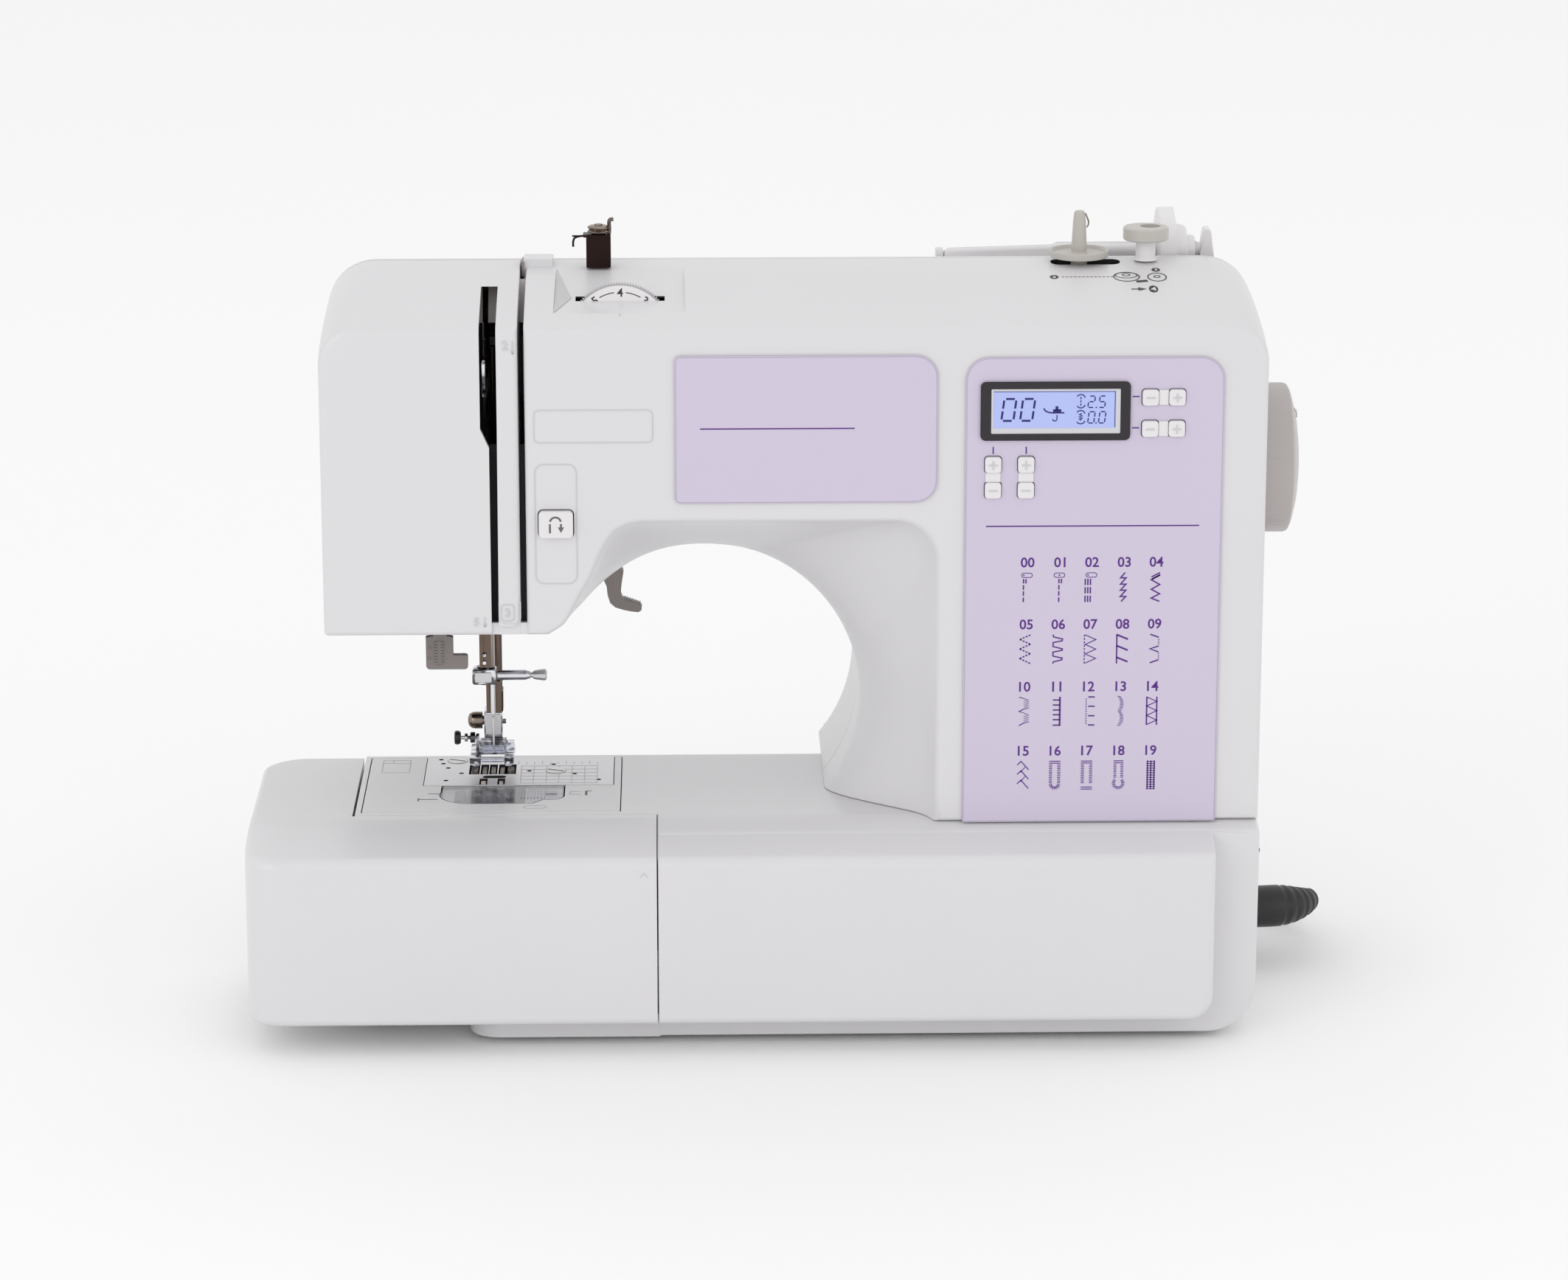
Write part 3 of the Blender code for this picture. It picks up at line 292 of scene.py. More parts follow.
def tube(path, radii, sides=16, up=(0, 0, 1), tint=0):
    """A round section carried along a path: each ring stands across its heading, its rise nearest to up."""
    path = np.asarray(path, float)
    way = np.gradient(path, axis=0)
    way /= np.linalg.norm(way, axis=1)[:, None]
    side = np.cross(way, np.asarray(up, float))
    side /= np.linalg.norm(side, axis=1)[:, None]
    rise = np.cross(side, way)
    turn = full_turn(sides)[:, None]
    size = np.broadcast_to(np.asarray(radii, float), (len(path),))[:, None, None]
    rings = path[:, None] + size * (side[:, None] * np.cos(turn) + rise[:, None] * np.sin(turn))
    return net(rings, tint=tint)


def stroke(points, width, lift, tint=0):
    """A flat line of a width through (u, v) points, mitred at its corners, from height 0 to lift."""
    points = np.asarray(points, float)
    way = np.diff(points, axis=0)
    way /= np.linalg.norm(way, axis=1)[:, None]
    normal = np.c_[-way[:, 1], way[:, 0]]
    mitre = np.vstack((normal[:1], normal)) + np.vstack((normal, normal[-1:]))
    mitre *= width / 2 / np.maximum((mitre ** 2).sum(1) / 2, 0.35)[:, None]
    low, high = np.zeros(len(points)), np.full(len(points), lift)
    a, b = points - mitre, points + mitre
    return net(np.stack((np.c_[a, low], np.c_[b, low], np.c_[b, high], np.c_[a, high]), 1), tint=tint)


def strokes(width, lift, *lines, tint=0):
    """Several lines of one width."""
    return [stroke(points, width, lift, tint) for points in lines]


def loop(outline, width, lift, tint=0):
    """A closed line: the band between an outline and its inset, from height 0 to lift."""
    outline = anticlockwise(outline)
    inner = inset(outline, width)
    rings = [stand(outline, 0, "z"), stand(outline, lift, "z"), stand(inner, lift, "z"), stand(inner, 0, "z")]
    return net(rings, close=True, tint=tint)


def placed(shape, origin=(0, 0, 0), u=(1, 0, 0), v=(0, 0, 1)):
    """Put a shape's (u, v, w) into space: origin plus u, v and w times their directions, w's being u x v.

    With the usual u and v the marks lie on the front face and w comes towards the front.
    """
    u, v = np.asarray(u, float), np.asarray(v, float)
    out = np.cross(u, v)
    return shape[0] @ np.stack((u, v, out)) + np.asarray(origin, float), shape[1]


def numeral(text, height, lift):
    """Digits of the built-in font as a flat shape centred on 0, 0 and scaled to a height."""
    curve = bpy.data.curves.new("digits", "FONT")
    curve.body = text
    curve.extrude = 0.5
    curve.resolution_u = 3
    curve.offset = 0.016
    holder = place("digits", curve)
    bpy.context.view_layer.update()
    mesh = bpy.data.meshes.new_from_object(holder.evaluated_get(bpy.context.evaluated_depsgraph_get()))
    points = np.zeros(len(mesh.vertices) * 3)
    mesh.vertices.foreach_get("co", points)
    points = points.reshape(-1, 3)
    bm = bmesh.new()
    bm.from_mesh(mesh)
    bmesh.ops.triangulate(bm, faces=bm.faces)
    faces = np.array([[v.index for v in f.verts] for f in bm.faces])
    bm.free()
    bpy.data.objects.remove(holder)
    bpy.data.curves.remove(curve)
    bpy.data.meshes.remove(mesh)
    low, high = points.min(0), points.max(0)
    scale = height / (high[1] - low[1])
    points = (points - (low + high) / 2) * (scale, scale, lift)
    points[:, 2] += lift / 2
    return points, [(faces, 0)]


# ---- finishes

class Field:
    """A value on a node's socket; sums and products of fields add Math nodes."""

    def __init__(self, finish, socket):
        self.finish = finish
        self.socket = socket

    def math(self, operation, a, b):
        """One Math node."""
        return self.finish.node("ShaderNodeMath", {"operation": operation}, {0: a, 1: b})

    def __add__(self, other):
        return self.math("ADD", self, other)

    def __radd__(self, other):
        return self.math("ADD", other, self)

    def __sub__(self, other):
        return self.math("SUBTRACT", self, other)

    def __rsub__(self, other):
        return self.math("SUBTRACT", other, self)

    def __mul__(self, other):
        return self.math("MULTIPLY", self, other)

    def __rmul__(self, other):
        return self.math("MULTIPLY", other, self)


class Finish:
    """A material in the making: its shader's fixed values, then the fields that vary over the surface."""

    def __init__(self, name, **fixed):
        self.material = bpy.data.materials.new(name)
        self.material.use_nodes = True
        self.tree = self.material.node_tree
        self.shader = self.tree.nodes["Principled BSDF"]
        for socket, value in fixed.items():
            self.shader.inputs[socket.replace("_", " ")].default_value = value
        self.place = self.node("ShaderNodeTexCoord", output="Object")

    def node(self, kind, settings=None, values=None, output=0):
        """Add a node: its settings first, then the values or fields of its sockets."""
        made = self.tree.nodes.new(kind)
        for key, value in (settings or {}).items():
            setattr(made, key, value)
        for key, value in (values or {}).items():
            if isinstance(value, Field):
                self.tree.links.new(value.socket, made.inputs[key])
            else:
                made.inputs[key].default_value = value
        return Field(self, made.outputs[output])

    def noise(self, scale, detail=2.0, stretch=(1, 1, 1)):
        """Noise from 0 to 1 with scale features to the metre, stretched along the axes."""
        spot = self.place
        if tuple(stretch) != (1, 1, 1):
            spot = self.node("ShaderNodeMapping", None, {"Vector": spot, "Scale": stretch})
        return self.node("ShaderNodeTexNoise", None, {"Vector": spot, "Scale": scale, "Detail": detail})

    def mixed(self, factor, low, high):
        """A colour between two by a field."""
        return self.node("ShaderNodeMix", {"data_type": "RGBA"},
                         {0: factor, 6: (*low, 1), 7: (*high, 1)}, output=2)

    def feed(self, socket, field):
        """Link a field to a socket of the shader."""
        self.tree.links.new(field.socket, self.shader.inputs[socket])

    def bump(self, height, depth):
        """Let a height field of 0 to 1 raise the surface by a depth in metres."""
        self.feed("Normal", self.node("ShaderNodeBump", None, {"Height": height, "Distance": depth}))


def shade(colour, factor):
    """A colour made lighter or darker."""
    return tuple(min(c * factor, 1.0) for c in colour)


def plastic(name, colour, roughness=0.33, grain=2600, depth=0.000008, mottle=0.02, coat=0.0):
    """Moulded plastic: fine grain in the bump, and slow drift in colour and gloss."""
    finish = Finish(name, Coat_Weight=coat, Coat_Roughness=0.12)
    drift = finish.noise(22, 3)
    speck = finish.noise(grain, 3)
    finish.feed("Base Color", finish.mixed(drift * 0.7 + speck * 0.3, shade(colour, 1 - mottle),
                                           shade(colour, 1 + mottle)))
    finish.feed("Roughness", drift * 0.06 + speck * 0.05 + (roughness - 0.055))
    finish.bump(speck, depth)
    return finish.material


def metal(name, colour, roughness=0.22, stretch=(1, 1, 40), depth=0.000004, drift=0.05, reflection_bands=0.0,
          run=(1, 1, 1)):
    """Worked metal: fine lines along one axis in bump and gloss, slow drift in colour.

    Painted reflections: dark bands of a few millimetres along run are painted into the colour, as polished
    metal shows in a pale room.
    """
    finish = Finish(name, Metallic=1.0)
    lines = finish.noise(900, 2, stretch)
    cloud = finish.noise(60, 2)
    # painted reflection: with bands set, the colour swings between dark and light bands along run
    if reflection_bands:
        cloud = (finish.noise(260, 1, run) - 0.5) * 7.0 + 0.62
        drift = reflection_bands
    finish.feed("Base Color", finish.mixed(cloud, shade(colour, 1 - drift), shade(colour, 1 + drift * 0.2)))
    finish.feed("Roughness", lines * 0.12 + cloud * 0.05 + (roughness - 0.08))
    finish.bump(lines, depth)
    return finish.material


def clear(name, colour, roughness=0.06):
    """Clear moulded plastic with slight flow marks."""
    finish = Finish(name, Transmission_Weight=1.0, IOR=1.46)
    flow = finish.noise(120, 2, (1, 1, 3))
    finish.feed("Base Color", finish.mixed(flow, shade(colour, 0.97), shade(colour, 1.02)))
    finish.feed("Roughness", flow * 0.05 + roughness)
    finish.bump(flow, 0.00002)
    return finish.material


def ink(name, colour, roughness=0.5):
    """Printed ink: matt, very slightly uneven."""
    finish = Finish(name)
    cover = finish.noise(1500, 2)
    finish.feed("Base Color", finish.mixed(cover, shade(colour, 0.92), shade(colour, 1.08)))
    finish.feed("Roughness", cover * 0.1 + (roughness - 0.05))
    return finish.material


def glow(name, colour, strength, ripple=0.05):
    """A lit display: its own light, even but for a slow drift."""
    finish = Finish(name, Emission_Strength=strength, Roughness=0.15)
    cloud = finish.noise(45, 1)
    finish.feed("Base Color", finish.mixed(cloud, shade(colour, 1 - ripple), colour))
    finish.feed("Emission Color", finish.mixed(cloud, shade(colour, 1 - ripple), colour))
    return finish.material


FINISHES = {}


def make_finishes(looks):
    """Every finish of the machine, kept by name."""
    shell, panel = tuple(looks.shell_colour), tuple(looks.panel_colour)
    FINISHES.update({
        "shell": plastic("off_white_shell", shell, 0.34, coat=0.15),
        "cavity": plastic("shadowed_inside", (0.02, 0.019, 0.021), 0.7),
        "table": plastic("off_white_table", shell, 0.3, coat=0.25),
        "panel": plastic("lilac_panel", panel, 0.42, 1800, 0.000004, 0.012),
        # darker lilac for the panels' rims, also painted shade on the walls of the key holes
        "panel_edge": plastic("panel_rim", shade(panel, 0.72), 0.5),
        "print": ink("violet_ink", tuple(looks.print_colour)),
        "grey_print": ink("grey_ink", (0.13, 0.125, 0.13)),
        "segment_ink": ink("dark_ink", (0.035, 0.03, 0.035)),
        # grey ink for the prints, also painted shade on the dial's serrated rim
        "pale_print": ink("pale_grey_ink_and_shade", (0.42, 0.41, 0.42)),
        "key": plastic("white_key", (0.77, 0.755, 0.765), 0.3, coat=0.15),
        "recess": plastic("shaded_recess", shade(shell, 0.8), 0.4),
        # raised marks are moulded in the body's plastic; their darker colour is painted shade that makes them
        # show
        "emboss": plastic("raised_marks_painted_shade", (0.60, 0.588, 0.60), 0.4),
        "bezel": plastic("dark_bezel", (0.014, 0.011, 0.015), 0.5),
        # pale colour of the bezel's inner bevel: painted highlight of the light it catches
        "bezel_edge": plastic("bezel_rim_painted_highlight", (0.62, 0.62, 0.65), 0.35),
        "display": glow("lit_display", (0.37, 0.43, 0.74), 0.24),
        "segments": ink("display_segments", (0.01, 0.008, 0.16), 0.2),
        "board": plastic("circuit_board", (0.03, 0.16, 0.06), 0.55, 700, 0.00005, 0.15),
        # the streaked metals carry painted reflections of the room in their colour
        "chrome": metal("chrome", (0.66, 0.66, 0.70), 0.12, (1, 1, 6), 0.000002, reflection_bands=0.82),
        "chrome_rod": metal("chrome_rod", (0.66, 0.66, 0.70), 0.12, (6, 1, 1), 0.000002, reflection_bands=0.85,
                            run=(0.08, 1, 1)),
        "steel": metal("brushed_steel", (0.40, 0.36, 0.335), 0.28, reflection_bands=0.5, run=(1.6, 1, 0.06)),
        # dark steel for the dark steel parts, also used as painted shade in screw slots and gaps
        "dark_steel": metal("oiled_steel_and_shade", (0.15, 0.112, 0.09), 0.3, reflection_bands=0.7, run=(1.6, 1, 0.06)),
        "plate": metal("satin_plate", (0.70, 0.69, 0.705), 0.42, (30, 1, 1), 0.000003, 0.02),
        "shaft": metal("ground_shaft", (0.6, 0.6, 0.6), 0.25, (40, 1, 1)),
        "nickel": metal("nickel_disc", (0.27, 0.215, 0.18), 0.2, (1, 1, 1), reflection_bands=0.6, run=(0.1, 1, 1)),
        "guide": metal("bronzed_bracket", (0.028, 0.017, 0.015), 0.34, (1, 1, 12), 0.000006),
        "needle": metal("needle_steel", (0.75, 0.75, 0.76), 0.12),
        "cast": metal("cast_aluminium", (0.45, 0.45, 0.46), 0.55, (1, 1, 1), 0.00006, 0.12),
        "lever": plastic("grey_lever", (0.255, 0.222, 0.214), 0.42),
        "beige": plastic("warm_grey_winder", (0.50, 0.475, 0.44), 0.36, coat=0.1),
        "wheel": plastic("handwheel_grey", tuple(looks.wheel_colour), 0.36, coat=0.15),
        "clear": clear("clear_cover", (0.93, 0.93, 0.97)),
        "smoke": clear("clear_foot", (0.84, 0.86, 0.95), 0.08),
        "black": plastic("black_moulding", (0.012, 0.012, 0.013), 0.38),
        "rubber": plastic("black_rubber", (0.018, 0.018, 0.019), 0.55, 1500, 0.00002, 0.1),
        "brass": metal("plug_pin", (0.72, 0.62, 0.38), 0.25, (40, 1, 1)),
        "motor": metal("motor_can", (0.12, 0.12, 0.125), 0.42, (40, 1, 1), 0.00001),
    })


NODE_FINISHES = {
    "shell": ("front_housing", "rear_housing", "face_cover", "base_housing", "accessory_table",
              "plate_surround", "spool_pin", "carry_handle"),
    "panel": ("pattern_panel", "name_panel"),
    "key": (*KEYS, "reverse_key", "tension_dial", "spool_cap"),
    "bezel": ("display_bezel", "bottom_plate"),
    "display": ("display",),
    "board": ("control_board",),
    "plate": ("needle_plate",),
    "chrome": ("needle_clamp", "needle_clamp_screw", "foot_holder", "foot_screw", "presser_foot",
               "take_up_lever"),
    "steel": ("feed_dog", "rotary_hook", "needle_bar", "presser_bar"),
    "shaft": ("upper_shaft", "lower_shaft", "motor_pulley"),
    "needle": ("needle",),
    "cast": ("chassis",),
    "motor": ("drive_motor",),
    "guide": ("thread_guide",),
    "lever": ("presser_lever", "buttonhole_lever"),
    "beige": ("winder_shaft", "winder_stop"),
    "wheel": ("handwheel",),
    "clear": ("bobbin_cover", "bobbin"),
    "black": ("bobbin_case", "power_connector", "mains_plug", "power_switch"),
    "rubber": ("motor_belt", "timing_belt", "foot_front_left", "foot_back_left", "power_cord", "cord_coil"),
}


def finish_nodes():
    """Give every frame node its finish; most are then replaced by a finer piece."""
    for finish, names in NODE_FINISHES.items():
        for name in names:
            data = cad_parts[name].data
            data.materials.clear()
            data.materials.append(FINISHES[finish])
    missing = set(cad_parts) - {name for names in NODE_FINISHES.values() for name in names}
    if missing:
        raise RuntimeError(f"no finish for {sorted(missing)}")


# ---- making objects

WELD = 0.002 * MM
SHARP = 32.0


def place(name, data):
    """Put a new object with its data into the scene, at the origin."""
    obj = bpy.data.objects.new(name, data)
    bpy.context.scene.collection.objects.link(obj)
    return obj


def mesh_of(name, shape, materials):
    """A mesh in metres from a shape in millimetres, its doubles merged and its faces turned outwards."""
    points, blocks = shape
    mesh = bpy.data.meshes.new(name)
    mesh.from_pydata((points * MM).tolist(), [], [row for part, _ in blocks for row in part.tolist()])
    tints = np.concatenate([np.full(len(part), tint) for part, tint in blocks])
    mesh.polygons.foreach_set("material_index", tints.astype(np.int32))
    for material in materials:
        mesh.materials.append(material)
    bm = bmesh.new()
    bm.from_mesh(mesh)
    bmesh.ops.remove_doubles(bm, verts=bm.verts, dist=WELD)
    bmesh.ops.dissolve_degenerate(bm, edges=bm.edges, dist=WELD / 2)
    bmesh.ops.recalc_face_normals(bm, faces=bm.faces)
    bm.to_mesh(mesh)
    bm.free()
    return mesh


def shaded(mesh, angle=SHARP):
    """Smooth shading, with the edges above an angle kept sharp."""
    mesh.shade_smooth()
    mesh.set_sharp_from_angle(angle=math.radians(angle))


def make(name, shape, finishes, body=ROOT, replaces=(), angle=SHARP):
    """Make one object at the world's origin from a shape in millimetres, riding on a body."""
    finishes = (finishes,) if isinstance(finishes, str) else finishes
    obj = place(name, mesh_of(name, shape, [FINISHES[finish] for finish in finishes]))
    shaded(obj.data, angle)
    obj.modifiers.new("flat faces", "WEIGHTED_NORMAL").keep_sharp = True
    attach(obj, body)
    if replaces:
        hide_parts(*([replaces] if isinstance(replaces, str) else replaces))
    return obj


def combine(obj, shape, operation="DIFFERENCE"):
    """Cut a shape from an object, or join it on, and keep the result as plain mesh."""
    tool = place("tool", mesh_of("tool", shape, obj.data.materials))
    obj.modifiers["flat faces"].show_viewport = False
    step = obj.modifiers.new("step", "BOOLEAN")
    step.operation = operation
    step.solver = "EXACT"
    step.use_self = True
    step.object = tool
    bpy.context.view_layer.update()
    result = bpy.data.meshes.new_from_object(obj.evaluated_get(bpy.context.evaluated_depsgraph_get()))
    if not len(result.polygons):
        raise RuntimeError(f"the cut left nothing of {obj.name}")
    obj.modifiers.remove(step)
    obj.modifiers["flat faces"].show_viewport = True
    result.name = obj.data.name
    obj.data = result
    bpy.data.objects.remove(tool)
    shaded(result)


# ---- housings

def base_top(y):
    """Height of the bed: it falls by a power curve towards the front and a parabola at the back."""
    y = np.asarray(y, float)
    front = BED - SLOPE_DROP * (np.clip(SLOPE_START - y, 0, None) / (SLOPE_START - BASE_FRONT)) ** SLOPE_POWER
    back = BED - 7.0 * np.clip((y - 70) / (BASE_BACK - 70), 0, None) ** 2
    return np.where(y < SLOPE_START, front, back)


def front_top(y):
    """Height of the top between the ridge and the crest."""
    s = np.clip((y - FRONT) / (1 - FRONT), 0.0, 1.0)
    return RIDGE + (CREST - RIDGE) * (1 - (1 - s) ** 1.7)


def rear_top(y):
    """Height of the rear deck, which drops behind the crest in two eased steps."""
    return CREST - 13.5 * smooth((y - 6) / 16) - 2.0 * smooth((y - 22) / 30)


def edge_at(y):
    """Lower edge of the arm and left edge of the column at a depth.

    At the front it follows eased knots; deep in the arch it is a circle; between, each point slides across.
    """
    left = [(-88.5, HEAD_BOTTOM), (-82.4, 167.6), (-77.6, 176), (-72, 186.4), (-66.6, 198.5), (-60.6, 205.5)]
    corner = arc(45, 191.8, 16, 90, 0, 5)
    knots = np.vstack((left, [(-50.6, 207.8), (0, 207.8)], corner, [(61, 150), (61, 120), (61, BED + GAP)]))
    foot = math.degrees(math.asin((BED + GAP - ARCH_CENTRE[1]) / ARCH_R))
    turns = [143.6, 136, 128, 120, 112, 104, 96, 82, 74, 62, 50, 38, 26, 14, 2, -16, foot]
    at = np.linspace(0, len(turns) - 1, (len(turns) - 1) * 6 + 1)
    near = np.c_[eased(knots[:, 0], at), eased(knots[:, 1], at)]
    turn = np.radians(eased(turns, at))
    deep = ARCH_CENTRE + ARCH_R * np.c_[np.cos(turn), np.sin(turn)]
    return near + (deep - near) * smooth((y - FRONT) / (ARCH_DEEP - FRONT)) ** 0.8


def housing_outline(y, left, top, corner, left_corner=0.6, wall=0.0):
    """Outline of a housing at a depth, anticlockwise from its lower left corner, moved in by a wall."""
    edge = edge_at(y)
    floor = float(base_top(y)) + GAP
    edge[-1, 1] = floor
    lower = np.vstack(([(left, HEAD_BOTTOM)], edge, [(RIGHT, floor)], [(RIGHT, top), (left, top)]))
    lower = inset(lower, wall)[:-2]
    u0, u1, v1 = left + wall, RIGHT - wall, top - wall
    r0, r1 = max(left_corner - wall, 0.3), max(corner - wall, 0.3)
    return np.vstack((lower, arc(u1 - r1, v1 - r1, r1, 0, 90, 12), arc(u0 + r0, v1 - r0, r0, 90, 180, 10)))


def cover_outline(top, corner, wall):
    """Outline of the face cover, moved in by a wall."""
    radii = [max(r - wall, 0.3) for r in (1.6, 1, 0.6, corner)]
    return round_box(LEFT + wall, COVER_RIGHT - wall, HEAD_BOTTOM + wall, top - wall, radii, 10)


def shell_of(near, far, radius, outline, count):
    """A hollow shell whose outline changes with depth, closed at near with a rounded edge and open at far.

    Rings run down the outside and come back up the inside, a wall's thickness in; the inside takes tint 1.
    """
    facing = math.copysign(1, far - near)
    turn = np.linspace(0, math.pi / 2, 6)
    depths = near + facing * radius * (1 - np.cos(turn))
    straight = np.linspace(near + facing * radius, far, count)[1:]
    outer = [(y, radius * (1 - math.sin(t))) for y, t in zip(depths, turn)] + [(y, 0.0) for y in straight]
    small = max(radius - WALL, 0.0)
    back = [(y, WALL) for y in straight[::-1] if facing * (y - near) > WALL + small + 0.4]
    bend = [(near + facing * (WALL + small * (1 - math.cos(t))), WALL + small * (1 - math.sin(t)))
            for t in (turn[::-1] if small else turn[-1:])]
    rings = [stand(outline(y, wall), y, "y") for y, wall in outer + back + bend]
    tints = np.arange(len(rings) - 1) >= len(outer)
    return net(rings, tint_rows=tints.astype(int))


def head_well():
    """Opening in the underside of the head round the needle bar and the presser bar."""
    plan = [(-171, -60), (-118, -60), (-118, -22), (-104, -22), (-104, 24), (-171, 24)]
    return prism(plan, "z", 155, 168, 1)


def column_well():
    """Opening from the column's foot into the base for the frame and the belts."""
    return block(85, 183, -45, 52, 78, 98, 1)


def shaft_hole(x0, x1):
    """Hole for the upper shaft through a side wall."""
    return rod(6.5, x0, x1, (0, SHAFT_Y, SHAFT_Z), "x", tint=1)


def front_hole(x0, x1, z0, z1, corner):
    """Opening with round corners through the front wall."""
    return prism(round_box(x0, x1, z0, z1, corner), "y", FRONT - 5, FRONT + 5, 1)


def key_holes():
    """Openings for the eight keys."""
    reach = KEY / 2 + GAP
    return [front_hole(x - reach, x + reach, z - reach, z + reach, 1.5) for x, z in KEYS.values()]


def dial_recess():
    """Shallow trough in the top's slope with a slot for the dial in its fold."""
    low = np.array([(-85.4, -54, 287.2), (-35, -54, 287.2), (-35.4, -10.5, 297.0), (-84.9, -10.5, 297.0)])
    fold = np.array([(-78.2, -38, 289.8), (-42.4, -38, 289.8)])
    points = np.vstack((low, fold, low + (0, 0, 9)))
    faces = [(np.array([(0, 1, 5, 4), (2, 3, 4, 5), (0, 6, 7, 1), (1, 7, 8, 2), (2, 8, 9, 3), (3, 9, 6, 0),
                        (6, 9, 8, 7)]), 0), (np.array([(1, 2, 5), (3, 0, 4)]), 0)]
    return points, faces


def front_housing(edge):
    """Front half of the arm and column."""
    def outline(y, wall):
        return housing_outline(y, HOUSING_LEFT, float(front_top(y)), 15 + 4 * float(smooth((y - FRONT) / 60)),
                               wall=wall)

    obj = make("front_housing_skin", shell_of(FRONT, PARTING, edge, outline, 24), ("shell", "cavity"),
               replaces="front_housing")
    cuts = [column_well(), shaft_hole(-110, -85), shaft_hole(180, 195)]
    x0, x1, z0, z1 = REVERSE
    cuts += [front_hole(x0 - 0.4, x1 + 0.4, z0 - 0.4, z1 + 0.4, 2.0), *key_holes()]
    cuts.append(prism(round_box(107.5, 134.6, -9.5, -1.0, 3.5), "z", 290, 305, 1))
    combine(obj, join(*cuts))
    combine(obj, dial_recess())
    combine(obj, block(-77.1, -42.9, -40.6, -36.0, 279, 300, 1))


def rear_housing():
    """Back half of the body, with the thread tray and the handle's lugs."""
    def outline(y, wall):
        return housing_outline(10, LEFT, float(rear_top(y)), 19, 19, wall)

    obj = make("rear_housing_skin", shell_of(BACK, PARTING + 0.5, 9.0, outline, 26), ("shell", "cavity"),
               replaces="rear_housing")
    x0, x1, y0, y1, floor = TROUGH
    tray = block(x0 - WALL, x1 + 0.5, y0 - WALL, y1 + WALL, floor - WALL, floor + 8)
    combine(obj, tray, "UNION")
    combine(obj, prism(round_box(x0, x1, y0, y1, 4), "z", floor, floor + 40))
    lugs = [pad(x, x + 3, HANDLE_Y - 3.5, HANDLE_Y + 3.5, 276, 292, "x", 2.0, 0.4) for x in (65.7, 165.3)]
    combine(obj, join(*lugs), "UNION")
    combine(obj, join(head_well(), column_well(), shaft_hole(180, 195), block(-99, -57, 33, 39, 150, 181, 1)))


def face_cover(edge):
    """Front left cover of the head, with the take-up slot and the thread bar beside it."""
    def outline(y, wall):
        return cover_outline(float(front_top(y)), 14 + 5 * float(smooth((y - FRONT) / 60)), wall)

    obj = make("face_cover_skin", shell_of(FRONT, 2.4, edge, outline, 24), ("shell", "cavity"),
               replaces="face_cover")
    slot = [(-110.1, 150), (-107.4, 150), (-107.0, 246), (-107.0, 293.4), (-113.4, 293.4), (-113.4, 244.7),
            (-110.1, 237.4)]
    combine(obj, join(prism(slot, "y", -70, -20), head_well(), shaft_hole(-110, -90)))
    under = np.vstack(([(-110, 160), (-98, 160), (-98, 172)], arc(-102.4, 170.6, 3.4, 0, -90, 6),
                       arc(-105.8, 170.6, 3.4, 270, 180, 6), [(-110, 170.6)]))
    combine(obj, prism(under, "y", -70, FRONT + 1.4))
    lip = pad(-110.6, -96.2, FRONT + 1.6, FRONT + 3.6, HEAD_BOTTOM + 0.1, 168.2, "y", 0.3, 0.2)
    lug = pad(-97.6, -86.2, -10, 0.4, 290, 300.2, "y", 0.5, 0.3)
    make("head_lip", join(lip, lug), "shell")
    # a dark grey block in the notch beside the lug: painted shade in the slot
    notch = block(-98.3, -97.4, -11, -1, 293.4, 299.2)
    make("thread_notch_shade", notch, "lever")
    # a near-black sheet behind the take-up slot: painted shade inside the head
    make("take_up_slot_shade", block(-110.8, -96.2, -57, -56, 163.8, 237), "cavity")


def base_outline(y, narrow, edge):
    """Outline of the base at a depth, moved in by edge; the front pad is narrower and clears the floor."""
    right, bottom, corner = (PAD_RIGHT, PAD_BOTTOM, 10) if narrow else (RIGHT, BASE_BOTTOM, 19)
    radii = [max(r - edge, 0.3) for r in (1, corner, 1.5, 1)]
    return round_box(SEAM + min(edge, 0.3), right - edge, bottom + edge, float(base_top(y)) - edge, radii, 10)


def front_profile(edge):
    """Depths and insets of the quarter circle that rounds the base's front face, from the face back."""
    turn = np.linspace(0, math.pi / 2, 7)
    depth = BASE_FRONT + edge * (1 - np.cos(turn))
    return depth, edge * (1 - np.sin(turn))


